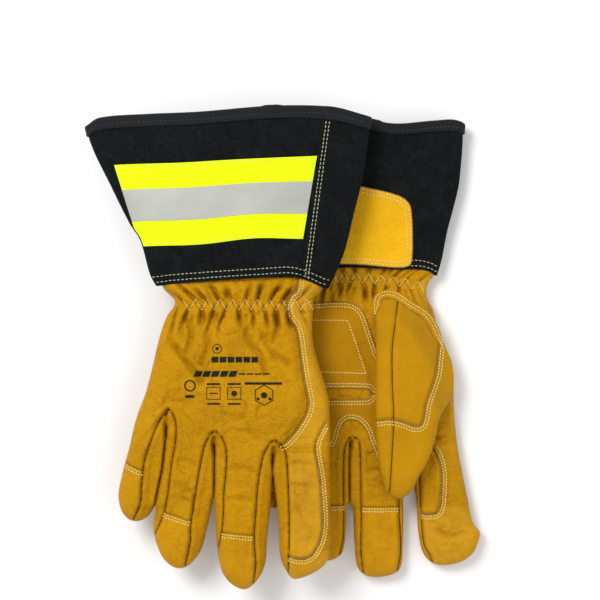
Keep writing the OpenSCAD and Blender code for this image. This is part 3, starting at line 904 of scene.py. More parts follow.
COLLAR = run(10.6, -19, 10.4, -13, 11.5, -6, 15, -2.3, 21.7, -1, 28.7, -3, 39.2, -10, 51.4, -18,
             57.5, -27, 61.5, -37, 63.5, -45)


def collar_rise(X, Y):
    """The palm leather rises to meet the thumb where it is sewn on."""
    return 3.0 * hump(near_field(X, Y, spline(COLLAR), 20).clip(0, 60) / 8)


def strip_mask(g, name, X, Y):
    """1 between the two seams of a finger's strip."""
    far, near = g["seams"][name]
    mask = np.ones_like(X, bool)
    if far:
        mask &= X > x_at(spline(far), Y)
    if near:
        mask &= X < x_at(spline(near), Y)
    return mask


def index_wrap(g, X, Y):
    """The index finger's outer leather: past the hooked seam, and round the fingertip."""
    line = spline(g["seams"]["index"][1])
    low = line[:, 1].min() + 0.5
    far = x_at(spline(g["seams"]["index"][0]), Y)
    hook = line[line[:, 1] < low + 22]
    return (finger_at(g["side"], X, Y) == 0) & (X > far) & (
        np.where(Y < low + 22, (Y < y_at(hook, X)) | (X > hook[:, 0].max()), X > x_at(line, Y))) & (
        Y < INDEX_WRAP_START[g["side"]])


# Long soft folds: each one's line, depth and width.
FOLDS = {
    "right": (
        (run(-58, -26, -49, -36, -38, -50, -33, -58), 1.7, 3.0),
        (run(-46, -8, -40, -22, -44, -36), 1.4, 2.4),
        (run(-22, -8, -26, -26, -32, -44), 1.3, 2.4),
        (run(0, -10, 4, -28, 12, -38, 16, -52), 1.4, 2.6),
        (run(10, -8, 14, -22, 22, -36, 34, -44), 1.1, 2.6),
        (run(24, -8, 25, -18, 22, -28), 1.1, 2.2),
        (run(-85, -110, -76, -100, -66, -90, -58, -80), 1.0, 2.6),
        (run(-20, -150, -6, -146, 6, -148), 0.7, 2.0),
        (run(26, -140, 40, -136, 56, -139), 0.7, 2.2),
        (run(-66, -140, -52, -136, -40, -140), 0.7, 2.0),
        (run(26, -124, 40, -120, 58, -122), 0.5, 2.0),
        (run(-20, -128, -6, -123, 10, -127), 0.6, 2.0),
        (run(-57, -122, -46, -117, -37, -120), 0.6, 2.0),
    ),
    "left": (
        (run(-12, -125, 0, -128, 14, -126, 28, -130), 0.7, 1.8),
        (run(-46, -138, -30, -134, -14, -137), 0.7, 1.8),
        (run(2, -142, 14, -139, 28, -143), 0.6, 1.8),
        (run(52, -112, 60, -114, 70, -111), 0.8, 2.0),
        (run(66, -118, 72, -112, 74, -104), 0.6, 1.6),
        (run(58, -186, 70, -190, 82, -188), 0.8, 2.4),
        (run(0, -44, 8, -60, 10, -80), 1.0, 3.0),
    ),
}


def offset_line(line, distance):
    """A line moved sideways: positive to the left of its direction."""
    along = np.gradient(line, axis=0)
    along /= np.maximum(np.linalg.norm(along, axis=1), 1e-9)[:, None]
    return line + distance * np.stack([-along[:, 1], along[:, 0]], 1)


def along_finger(side, finger):
    """A finger's hinge in glove millimetres, its axis, and the way to its tip. None if it has no joint."""
    name = {"right": f"right_{finger}_bend", "left": f"left_{finger}_curl"}[side]
    match = [j for j in frame["joints"] if j["name"] == name]
    if not match:
        return None
    origin, _ = wrist_of(side)
    pivot = (np.array(match[0]["pos_m"]) - origin) / MM
    axis = np.array(match[0]["axis"], float)
    axis /= np.linalg.norm(axis)
    ahead = np.cross([0, 0, 1], axis)
    return pivot, axis, ahead if ahead[1] < 0 else -ahead


# How many degrees the right glove's outer fingers hang down.
DROOP = {"ring": 7.0, "pinky": 8.0}
# A finger's leather bends from this far before its hinge to this far past it.
BEFORE, AFTER = 8.0, 10.0


def lay(g, points, whose=None):
    """Glove millimetres to metres in the shared frame. The right glove's outer fingers hang down a little."""
    p = np.array(points, float)
    side = g["side"]
    if side == "right":
        which = finger_at(side, p[:, 0], p[:, 1]) if whose is None else whose
        for k, name in enumerate(FINGERS):
            if name not in DROOP:
                continue
            pivot, axis, ahead = along_finger(side, name)
            t = smooth_step((((p - pivot) @ ahead) + BEFORE) / (BEFORE + AFTER))
            t = t * (which == k) * (p[:, 1] < -80)
            angle = -np.radians(DROOP[name]) * t
            q = p - pivot
            c, s = np.cos(angle)[:, None], np.sin(angle)[:, None]
            moved = pivot + q * c + np.cross(axis, q) * s + axis * (q @ axis)[:, None] * (1 - c)
            p = np.where((t > 0)[:, None], moved, p)
    placed = wrist_of(side)[0] + MM * p
    placed[:, 2] = np.maximum(placed[:, 2], 0.0001)
    return placed


def fasten(obj, g, key):
    """Puts a piece with its body, by key: a finger's name, hand, wrist, cuff or thumb. Right-cuff pieces go
    under the right cuff's body and most others under their glove's hand; pieces of a jointed finger, of the
    right glove's wrist and of the left thumb only have their transform baked.
    """
    side = g["side"]
    if key in FINGERS:
        pivot, _, ahead = along_finger(side, key)
        start, end = lay_raw(g, pivot - BEFORE * ahead), lay_raw(g, pivot + AFTER * ahead)
        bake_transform(obj)
        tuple(start)
        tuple(end)
    elif key == "wrist" and side == "right":
        lay_raw(g, (0, -2, 0))
        lay_raw(g, (0, 14, 0))
        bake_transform(obj)
    elif key == "cuff" and side == "right":
        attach(obj, "right_cuff")
    elif key == "thumb" and side == "left":
        j = joint("left_thumb_lift")
        axis = np.array(j["axis"], float)
        ahead = np.cross([0, 0, 1], axis / np.linalg.norm(axis))
        ahead *= -1 if ahead[1] > 0 else 1
        pivot = np.array(j["pos_m"])
        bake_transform(obj)
    else:
        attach(obj, side + "_hand")
    return obj


def lay_raw(g, point):
    """One point in the shared frame, without the droop that lay() gives the outer fingers."""
    return tuple(wrist_of(g["side"])[0] + MM * np.array(point, float))


PALE_NODES = ("right_index_back", "right_index_tip", "left_index_tip")


def skin_piece(g, node, faces, placed, normals, tone, finish, part):
    """One node's share of a skin, as its own leather object."""
    used = np.unique(faces)
    renumber = np.zeros(len(placed), int)
    renumber[used] = np.arange(len(used))
    obj = build(node + "_leather", placed[used], renumber[faces].tolist(), MAT[finish],
                normals[used])
    shade = obj.data.attributes.new("tone", "FLOAT", "POINT")
    shade.data.foreach_set("value", tone[used].astype(np.float32))
    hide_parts(node)
    fasten(obj, g, part)


def hand_pieces(g):
    """The hand, fingers included: one smooth skin, cut into its leather pieces along its seams."""
    side = g["side"]
    _, half = wrist_of(side)
    loop = spline(g["outline"], closed=True)
    top, bottom = hand_relief(g, half)
    touch = [(np.array(GAPS[side][k], float), start, end) for k, start, end in g["touch"]]
    body = Body(loop, *HAND_SPAN, HAND_ROUNDING, top, bottom, touch)
    verts, faces = body.mesh()
    centre = verts[faces].mean(1)
    keep = centre[:, 1] < HAND_END
    faces, centre = faces[keep], centre[keep]
    x, y, up = centre[:, 0], centre[:, 1], centre[:, 2] > 0
    finger = finger_at(side, x, y)
    # Where fingers touch, the way a face looks says which finger it is on.
    looks = np.cross(verts[faces[:, 2]] - verts[faces[:, 0]], verts[faces[:, 3]] - verts[faces[:, 1]])[:, 0]
    whose = finger_at(side, verts[:, 0], verts[:, 1])
    for (line, start, end), (k, _, _) in zip(touch, g["touch"]):
        close = (np.abs(x - x_at(line, y)) < 1.3 * GRID) & (y < start) & (y > end)
        finger[close] = np.where(looks[close] > 0, k + 1, k)
        whose[faces[close]] = finger[close][:, None]
        middle = x_at(line, verts[:, 1])
        wall = (np.abs(verts[:, 0] - middle) < 0.55) & (verts[:, 1] < start - 1) & (verts[:, 1] > end + 1)
        verts[wall, 0] = (middle + np.where(whose == k, 0.07, -0.07))[wall]
    wrap = spline(g["wrap"])
    layer, under = ("back", "palm") if g["back_up"] else ("palm", "back")
    names = np.where(up, f"{side}_{layer}_panel", f"{side}_{under}_panel").astype(object)
    if g["back_up"]:
        names[up & (x > x_at(wrap, y)) & (y > WRAP_END)] = f"{side}_side_wrap"
    else:
        names[(x > 45) & (np.abs(centre[:, 2]) < 5.5) & (y > STILL_FINGERS)] = f"{side}_side_wrap"
    lines = [wrap] if g["back_up"] else []
    moving = [name for name in FINGERS if along_finger(side, name)]
    for k, name in enumerate(FINGERS):
        lines += [spline(line) for line in g["seams"][name] if line]
        mine = (finger == k) & (y < FINGER_START)
        if name in moving:
            pivot, _, ahead = along_finger(side, name)
            mine &= (centre - pivot) @ ahead > -BEFORE
        else:
            mine &= y < STILL_FINGERS
        strip = strip_mask(g, name, x, y)
        if name == "index":
            cap = index_wrap(g, x, y) & (y < spline(g["seams"]["index"][1])[:, 1].min() + 6)
        else:
            row = spline(g["tips"][name])
            lines.append(row)
            cap = y < y_at(row, x)
        if name in moving:
            names[mine & up] = f"{side}_{name}_fourchettes"
            names[mine & up & strip] = f"{side}_{name}_{layer}"
            names[mine & ~up] = f"{side}_{name}_{under}"
            names[mine & up & cap & (strip | (name == "index"))] = f"{side}_{name}_tip"
        else:
            names[mine & up & ~strip] = f"{side}_fourchettes"
            names[mine & up & cap & strip] = f"{side}_{name}_tip"
    labels, key = np.unique(names.astype(str), return_inverse=True)
    # The vertices where two pieces meet are moved on to the seam.
    low, high = np.full(len(verts), 99), np.full(len(verts), -1)
    for k in range(4):
        np.minimum.at(low, faces[:, k], key)
        np.maximum.at(high, faces[:, k], key)
    shared = np.flatnonzero((low < high) & (high >= 0) & (verts[:, 2] > 1))
    for line in lines:
        distance, foot = nearest(verts[shared][:, :2], line)
        close = distance < 1.1
        verts[shared[close], :2] = foot[close]
    moved = verts[shared]
    verts[shared, 2] = np.where(body.at(body.d, moved[:, 0], moved[:, 1]) > 3,
                                body.z(moved[:, 0], moved[:, 1]), moved[:, 2])
    normals = vertex_normals(verts, faces)
    tone = np.where(verts[:, 2] > 0, body.at(body.tone, verts[:, 0], verts[:, 1]), 0)
    placed = lay(g, verts, whose)
    for k, node in enumerate(labels):
        finish = "wrap" if "wrap" in node or node in PALE_NODES else "patch" if "tip" in node else "gold"
        part = node.split("_")[1]
        skin_piece(g, node, faces[key == k], placed, normals, tone, finish,
                   part if part in moving else "wrist")
    return body


# ---------------------------------------------------------------- stitches

# Stitches by glove and by what they move with: path, way across, normal and size of each.
THREADS = {}


def thread_key(g, x, y, part):
    """What a stitch at (x, y) moves with."""
    if part != "hand":
        return part
    name = FINGERS[int(finger_at(g["side"], np.array([x]), np.array([y]))[0])]
    hinge = along_finger(g["side"], name)
    if y < FINGER_START and hinge and (np.array([x, y, 0]) - hinge[0])[:2] @ hinge[2][:2] > -BEFORE:
        return name
    return "wrist"


def stitches(g, line, height, part="hand", pitch=2.2, size=0.52, fill=0.68, keep=None, seed=1):
    """A row of separate stitches along a line on a surface, each a short plump thread sunk at both ends."""
    rng = np.random.default_rng(seed + len(line))
    steps = np.linalg.norm(np.diff(line, axis=0), axis=1)
    total = np.concatenate([[0], np.cumsum(steps)])
    centres = np.arange(pitch / 2, total[-1], pitch)
    at = lambda s: np.stack([np.interp(s, total, line[:, k]) for k in (0, 1)], 1)
    half = pitch * fill / 2
    mid, a, b = at(centres), at(centres - half), at(centres + half)
    for m, p, q in zip(mid, a, b):
        if keep is not None and not keep(m[0], m[1]):
            continue
        jitter = rng.normal(0, 0.05, 2)
        x = np.array([p[0], m[0], q[0]]) + jitter[0]
        y = np.array([p[1], m[1], q[1]]) + jitter[1]
        z = height(x, y)
        path = np.stack([x, y, z], 1)
        along = path[2] - path[0]
        along /= np.linalg.norm(along)
        slope = height(np.array([m[0] + 0.6, m[0] - 0.6, m[0], m[0]]),
                       np.array([m[1], m[1], m[1] + 0.6, m[1] - 0.6]))
        normal = np.array([-(slope[0] - slope[1]) / 1.2, -(slope[2] - slope[3]) / 1.2, 1])
        normal /= np.linalg.norm(normal)
        across = np.cross(normal, along)
        THREADS.setdefault((g["side"], thread_key(g, m[0], m[1], part)), []).append(
            (path, across / np.linalg.norm(across), normal, size * (1 + rng.normal(0, 0.06))))


def double_row(g, line, height, near, far, **options):
    """Two rows of stitches beside a line, at two distances from it."""
    for distance in (near, far):
        stitches(g, offset_line(line, distance), height, **options)


# A stitch's shape: share of its length, of its width, and its height, at each ring of points.
STATIONS = ((-0.5, 0.25, -0.42), (-0.40, 0.8, -0.10), (-0.15, 1.0, 0.12),
            (0.15, 1.0, 0.12), (0.40, 0.8, -0.10), (0.5, 0.25, -0.42))
THREAD_SIDES = 6


def make_threads(gloves):
    """One object of stitches for each glove, body and kind of thread."""
    n = THREAD_SIDES
    for (side, key), rows in sorted(THREADS.items()):
        verts, faces = [], []
        for path, across, normal, size in rows:
            first = len(verts)
            span = path[2] - path[0]
            sag = path[1] - (path[0] + path[2]) / 2
            for t, width, rise in STATIONS:
                middle = (path[0] + path[2]) / 2 + span * t + sag * (1 - 4 * t * t)
                middle = middle + normal * (rise * size + 0.12)
                for k in range(n):
                    angle = 2 * math.pi * k / n
                    out = across * math.cos(angle) + normal * 0.8 * math.sin(angle)
                    verts.append(middle + size * width * out)
            for i in range(len(STATIONS) - 1):
                for k in range(n):
                    a, b = first + i * n + k, first + i * n + (k + 1) % n
                    faces.append((a, b, b + n, a + n))
            faces.append(tuple(first + k for k in range(n - 1, -1, -1)))
            faces.append(tuple(first + len(STATIONS) * n - n + k for k in range(n)))
        g = gloves[side]
        part, _, kind = key.partition("-")
        material = MAT["thread_" + kind if kind else "thread"]
        obj = build(f"{side}_{key}_stitches", lay(g, verts), faces, material)
        fasten(obj, g, part)


# ---------------------------------------------------------------- sheets laid on a surface

def turned_left(loop):
    """A closed outline in counter-clockwise order."""
    area = np.sum(loop[:, 0] * np.roll(loop[:, 1], -1) - np.roll(loop[:, 0], -1) * loop[:, 1])
    return loop[::-1] if area < 0 else loop


def moved_in(loop, inset, share):
    """The line inside a counter-clockwise outline, without the points that fold back towards it."""
    inner = offset_line(np.vstack([loop[-1:], loop, loop[:1]]), inset)[1:-1]
    away, _ = nearest(inner, np.vstack([loop, loop[:1]]))
    return inner[away > share * inset]


def drape(outline, height, thick, sink=0.9, spacing=2.5, edge=0.9, curved=True):
    """A sheet cut to an outline and laid on a height function: vertices and faces, with its edge rounded."""
    loop = turned_left(spline(outline, 1.2, closed=True) if curved else np.array(outline, float))
    rings = [loop]
    if edge > 0:
        rings += [moved_in(loop, inset, 0.8) for inset in (0.35 * edge, edge)]
    lo, hi = loop.min(0), loop.max(0)
    gx, gy = np.meshgrid(np.arange(lo[0], hi[0], spacing), np.arange(lo[1], hi[1], spacing), indexing="ij")
    fill = np.stack([gx.ravel() + (np.arange(gx.size) % 7) * 0.01, gy.ravel()], 1)
    if len(fill):
        fill = fill[signed_distance(fill, loop) > edge + 0.5 * spacing]
    points = np.vstack([*rings, fill])
    out = delaunay_2d_cdt([Vector(p) for p in points.tolist()], [], [list(range(len(loop)))], 1, 1e-4)
    flat = np.array([tuple(v) for v in out[0]])
    tris = np.array([f for f in out[2] if len(f) == 3])
    away, _ = nearest(flat, np.vstack([loop, loop[:1]]))
    rise = thick
    if edge > 0:
        rise = thick * (0.25 + 0.75 * np.sqrt(1 - (1 - np.clip(away / edge, 0, 1))**2))
    z = height(flat[:, 0], flat[:, 1])
    upper = np.column_stack([flat, z + rise])
    rim = rim_edges(tris)
    ids = np.unique(rim)
    slot = -np.ones(len(flat), int)
    slot[ids] = np.arange(len(ids)) + len(flat)
    lower = np.column_stack([flat[ids], z[ids] - sink])
    walls = np.stack([rim[:, 1], rim[:, 0], slot[rim[:, 0]], slot[rim[:, 1]]], 1)
    return np.vstack([upper, lower]), [*tris.tolist(), *walls.tolist()]


def sheet_piece(g, name, part, material, nodes, meshes):
    """One object from several (vertices, faces) in glove millimetres."""
    verts, faces = [], []
    for v, f in meshes:
        faces += [[i + len(verts) for i in face] for face in f]
        verts += np.asarray(v).tolist()
    obj = build(name, lay(g, verts), faces, material)
    obj.data.set_sharp_from_angle(angle=math.radians(50))
    if nodes:
        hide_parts(*nodes)
    fasten(obj, g, part)
    return obj


def flip(mesh):
    """A mesh mirrored to the underside."""
    v, f = mesh
    v = np.array(v)
    v[:, 2] *= -1
    return v, [list(reversed(face)) for face in f]


# ---------------------------------------------------------------- cuffs

class Cuff:
    """A flared flattened tube between a hem line and a rim line. phi 0 is the middle of its upper side."""
    power = 2.5

    def __init__(self, g, low, high):
        """low and high are the half height and the level of the middle, at the hem and at the rim."""
        self.hem, self.rim = spline(g["hem"]), spline(g["rim"])
        self.far, self.near = spline(g["cuff_far"]), spline(g["cuff_near"])
        self.low, self.high = low, high
        self.seed = 3 if g["back_up"] else 8

    def share(self, x, y):
        hem, rim = y_at(self.hem, x), y_at(self.rim, x)
        return (y - hem) / (rim - hem)

    def levels(self, v):
        return [a + (b - a) * v for a, b in zip(self.low, self.high)]

    def across(self, x, y):
        lo, hi = x_at(self.far, y), x_at(self.near, y)
        return (2 * x - lo - hi) / (hi - lo)

    def wave(self, x, y):
        v = np.clip(self.share(x, y), 0, 1)
        return (0.9 * noise(x, y, 48, self.seed) + 0.35 * noise(x, y, 19, self.seed + 1)) * (0.5 + 0.5 * v)

    def z(self, x, y, face=1):
        """The height of the upper face, or of the lower one for face=-1."""
        half, mid = self.levels(np.clip(self.share(x, y), -0.1, 1.1))
        t = np.clip(np.abs(self.across(x, y)), 0, 0.999)
        return mid + face * half * (1 - t**self.power)**(1 / self.power) + self.wave(x, y) * (1 - t)**0.5

    def point(self, phi, v, out=0.0):
        """A point on the tube, moved outwards."""
        phi, v = np.broadcast_arrays(np.asarray(phi, float), np.asarray(v, float))
        s, c = np.sin(phi), np.cos(phi)
        t = np.sign(s) * np.abs(s)**(2 / self.power)
        y = 15 + 130 * v
        for _ in range(6):
            lo, hi = x_at(self.far, y), x_at(self.near, y)
            x = (lo + hi) / 2 + t * (hi - lo) / 2
            y = y_at(self.hem, x) * (1 - v) + y_at(self.rim, x) * v
        half, mid = self.levels(v)
        lift = np.sign(c) * np.abs(c)**(2 / self.power)
        z = mid + half * lift + self.wave(x, y) * (1 - np.abs(t))**0.5
        width = (hi - lo) / 2
        nx, nz = s * half, c * width
        n = np.hypot(nx, nz)
        return np.stack([x + out * nx / n, y, z + out * nz / n], -1)

    def phi_of(self, x, y):
        t = self.across(x, y)
        return np.arcsin(np.sign(t) * np.abs(t)**(self.power / 2))


def band(grid, wrap=False, flipped=False):
    """Quads over a grid of points."""
    n, m = grid.shape[:2]
    i, j = np.meshgrid(np.arange(n - (not wrap)), np.arange(m - 1), indexing="ij")
    a = (i * m + j).ravel()
    b = ((i + 1) % n * m + j).ravel()
    faces = np.stack([a, b, b + 1, a + 1], 1)
    return grid.reshape(-1, 3), (faces[:, ::-1] if flipped else faces).tolist()


def thick_band(outer, inner):
    """A closed sheet between two grids of points."""
    n, m = outer.shape[:2]
    verts = np.vstack([outer.reshape(-1, 3), inner.reshape(-1, 3)])
    _, top = band(outer)
    faces = [list(f) for f in top]
    count = n * m
    faces += [[i + count for i in reversed(f)] for f in top]
    index = np.arange(count).reshape(n, m)
    rim = [*index[:, 0], *index[-1, 1:], *index[-2::-1, -1], *index[0, -2:0:-1]]
    for a, b in zip(rim, rim[1:] + rim[:1]):
        faces.append([a, a + count, b + count, b])
    return verts, faces


def lap_place(cuff, lap, shares):
    """phi of the lap seam at each share of the cuff's height."""
    found = []
    for share in shares:
        phi = 0.9
        for _ in range(12):
            p = cuff.point(phi, share)
            phi = float(cuff.phi_of(x_at(lap, p[1]), p[1]))
        found.append(phi)
    return np.array(found)[None]


def cuff_pieces(g):
    """A cuff's two suede layers, its binding and its threads. Also returns the height of its upper face."""
    side, right = g["side"], g["back_up"]
    cuff = Cuff(g, (11.2, 1.6), (12.0, 3.0)) if right else Cuff(g, (9.4, 1.6), (11.6, 4.2))
    share = np.linspace(0, 1, 34)[None]
    far_edge = -math.pi / 2
    if right:
        # The back layer runs from the far edge to just under the lap. The palm layer goes round to lie on it.
        lap = spline(g["lap"])
        lap_phi = lap_place(cuff, lap, share[0])
        back = far_edge + (lap_phi + 0.05 - far_edge) * np.linspace(0, 1, 90)[:, None]
        turn = np.linspace(0, 1, 150)[:, None]
        palm = far_edge + (lap_phi - 2 * math.pi - far_edge) * turn
        rise = LAP_LIFT * smooth_step((turn - 0.55) / 0.2) + 0 * share
    else:
        turn = np.linspace(0, 1, 90)[:, None]
        back = far_edge - math.pi * turn + 0 * share
        palm = far_edge + math.pi * turn + 0 * share
        rise = 0 * palm
    for layer, phi, out, forward in (("back", back, 0.0, right), ("palm", palm, rise, not right)):
        outer, inner = cuff.point(phi, share, out), cuff.point(phi, share, out - CUFF_LEATHER)
        mesh = thick_band(outer, inner) if forward else thick_band(outer[::-1], inner[::-1])
        node = f"{side}_cuff_{layer}"
        sheet_piece(g, node + "_suede", "cuff", MAT["suede"], [node], [mesh])
    # Binding: folded over the rim, its ends overlapping in one place.
    ring = np.linspace(0, 2 * math.pi, 220, endpoint=False)[:, None]
    at = 21 if right else 9
    rim_phi = float(cuff.phi_of(at, y_at(cuff.rim, at)))
    gap = (ring - rim_phi + math.pi) % (2 * math.pi) - math.pi
    doubled = smooth_step((0.075 - np.abs(gap)) / 0.02)
    lapped = np.zeros_like(ring)
    if right:
        lap_at = float(lap_phi[0, -1])
        past = (ring - lap_at) % (2 * math.pi)
        lapped = LAP_LIFT * (smooth_step(past / 0.05) - smooth_step((past - 3.3) / 0.5))
    section = run(8.2, 0.9, 7.9, 1.35, 6.5, 1.55, 4.6, 1.3, 3.2, 1.55, 1.2, 1.6, -0.2, 1.5, -1.1, 0.8,
                  -1.4, -0.7, -1.1, -2.2, -0.2, -3.1, 1.5, -3.3, 4.6, -3.1, 8.0, -2.9, 8.1, -2.1)
    grid = []
    for down, out in section:
        thick = np.where(out > -0.7, 1 + 0.55 * doubled, 1)
        p = cuff.point(ring[:, 0], np.full(len(ring), 1 - down / CUFF_LENGTH),
                       out * thick[:, 0] + lapped[:, 0] + (0.18 * noise(ring[:, 0] * 90, down * 3.0, 6, 4)))
        if down < 0:
            p[:, 1] += 0.8 * doubled[:, 0]
        grid.append(p)
    grid = np.stack(grid, 1)
    grid = np.concatenate([grid, grid[:, :1]], 1)
    mesh = band(grid, wrap=True, flipped=True)
    node = f"{side}_cuff_binding"
    sheet_piece(g, node + "_tape", "cuff", MAT["binding"], [node], [mesh])
    # Rows of stitches: two along the hem, one in the binding, two along the lap.

    def lapped_z(x, y):
        if not right:
            return cuff.z(x, y)
        return cuff.z(x, y) + np.where(np.asarray(x) > x_at(lap, y), LAP_LIFT, 0)

    inside_cuff = lambda x, y: abs(float(cuff.across(x, y))) < 0.985
    for rise_y in (2.8, 7.0):
        stitches(g, cuff.hem + [0, rise_y], lapped_z, "cuff-cuff", 3.2, 0.34, 0.66, keep=inside_cuff)
    rim_z = lambda x, y: lapped_z(x, y) + 1.3
    stitches(g, cuff.rim - [0, 4.6], rim_z, "cuff-rim", 3.3, 0.40, 0.68, keep=inside_cuff, seed=5)
    if right:
        for shift in (3.5, 6.0):
            keep = lambda x, y: 0.02 < cuff.share(x, y) < 0.93
            stitches(g, lap + [shift, 0], lapped_z, "cuff-cuff", 3.1, 0.36, 0.68, keep=keep, seed=9)
    return cuff, lapped_z


def tape_wave(u, w):
    """How the tape's lines rise and fall along it, most at its lower edge."""
    return 2.4 * (1 - w) * hump((u - 0.72) / 0.22) - 0.8 * hump((u - 0.33) / 0.2)


def tape_pieces(g, height, sign=1):
    """The reflective tape on the back of a cuff: a fluorescent ground with a silver strip down its middle."""
    (ax, ay), (bx, by), (cx, cy), (dx, dy) = g["tape"]
    far = spline(g["cuff_far"])

    def spot(u, w):
        """x and y at a share u of the tape's length and w of its width."""
        x = (ax + (dx - ax) * u) * (1 - w) + (bx + (cx - bx) * u) * w
        y = (ay + (dy - ay) * u) * (1 - w) + (by + (cy - by) * u) * w + tape_wave(u, w)
        return x, y

    def strip(w0, w1, out, m, name, node, finish):
        x, y = spot(np.linspace(0, 1, 90)[:, None], np.linspace(w0, w1, m)[None])
        x = np.maximum(x, x_at(far, y) + 1.2)
        z = height(x, y) + out
        upper, lower = (np.stack([x, y, sign * level], -1) for level in (z, z - 0.75))
        mesh = thick_band(upper, lower) if sign > 0 else thick_band(upper[::-1], lower[::-1])
        node = f"{g['side']}_{node}"
        sheet_piece(g, f"{g['side']}_{name}", "cuff", MAT[finish], [node], [mesh])

    strip(0, 1, 0.55, 40, "sight_tape_band", "sight_tape", "yellow")
    strip(0.305, 0.695, 0.95, 20, "silver_strip_band", "silver_strip", "silver")
    if sign > 0:
        on_tape = lambda x, y: height(x, y) + 0.55
        inside_tape = lambda x, y: x > x_at(far, y) + 2.5
        for w in (0.03, 0.97):
            line = np.stack(spot(np.linspace(0, 1, 90), w), 1)
            stitches(g, line, on_tape, "cuff", 3.0, 0.30, 0.7, keep=inside_tape)
        u, w = 0.985, np.linspace(0, 1, 40)
        end = np.stack([ax + (dx - ax) * u + (bx + (cx - bx) * u - ax - (dx - ax) * u) * w,
                        ay + (dy - ay) * u + (by + (cy - by) * u - ay - (dy - ay) * u) * w], 1)
        stitches(g, end, on_tape, "cuff", 3.0, 0.30, 0.7)


# ---------------------------------------------------------------- thumbs

# base: where a thumb leaves the palm. seam: where its front meets its side wall. row: the edge of its
# second layer of leather. level and root: how high its tip and its root lie.
THUMB = {
    "left": dict(
        outline=run(12, -8, 11.3, -53, 11, -101.5, 12.3, -124, 14.4, -137.5, 16.8, -148, 21.5, -157.5,
                    30, -160.5, 39, -154, 44, -144.5, 48.5, -137, 52.5, -128.5, 55, -121.5, 58, -110,
                    59.5, -101.5, 62.5, -94, 67.5, -86.5, 71.5, -76, 71.5, -62, 66.5, -46, 60, -34,
                    51.5, -20.5, 40, -10.5, 28, -4.5, 17, -4),
        base=run(10, -8, 17, -4, 28, -3.5, 40, -10, 51.5, -20.5, 60, -34, 66.5, -46, 71.5, -62,
                 71.5, -80),
        seam=run(28.5, -8, 25.5, -28, 23.6, -45, 23.6, -68.5, 24.6, -100, 21.5, -157),
        row=run(5, -102, 16, -99.7, 23.5, -99.3, 33, -101.5, 40.5, -104.3, 45.5, -103.5, 48, -97,
                49.5, -87.5, 52.5, -78.5, 57, -66, 59, -54, 61, -38),
        half=8.0, radius=13.0, level=17.6, root=11.0),
    "right": dict(
        outline=run(11, -30, 9, -60, 8, -95, 11, -118, 15, -134, 20, -143, 28, -146, 36, -142, 42, -132,
                    46, -118, 49, -104, 50, -90, 51, -72, 51, -50, 49, -36, 42, -30, 26, -28),
        half=3.9, radius=9.0, level=-15.2, root=-12.6,
        base=run(10, -30, 26, -28, 42, -30, 50, -38), seam=run(27, -30, 27, -143),
        row=run(6, -108, 30, -106, 52, -108)),
}


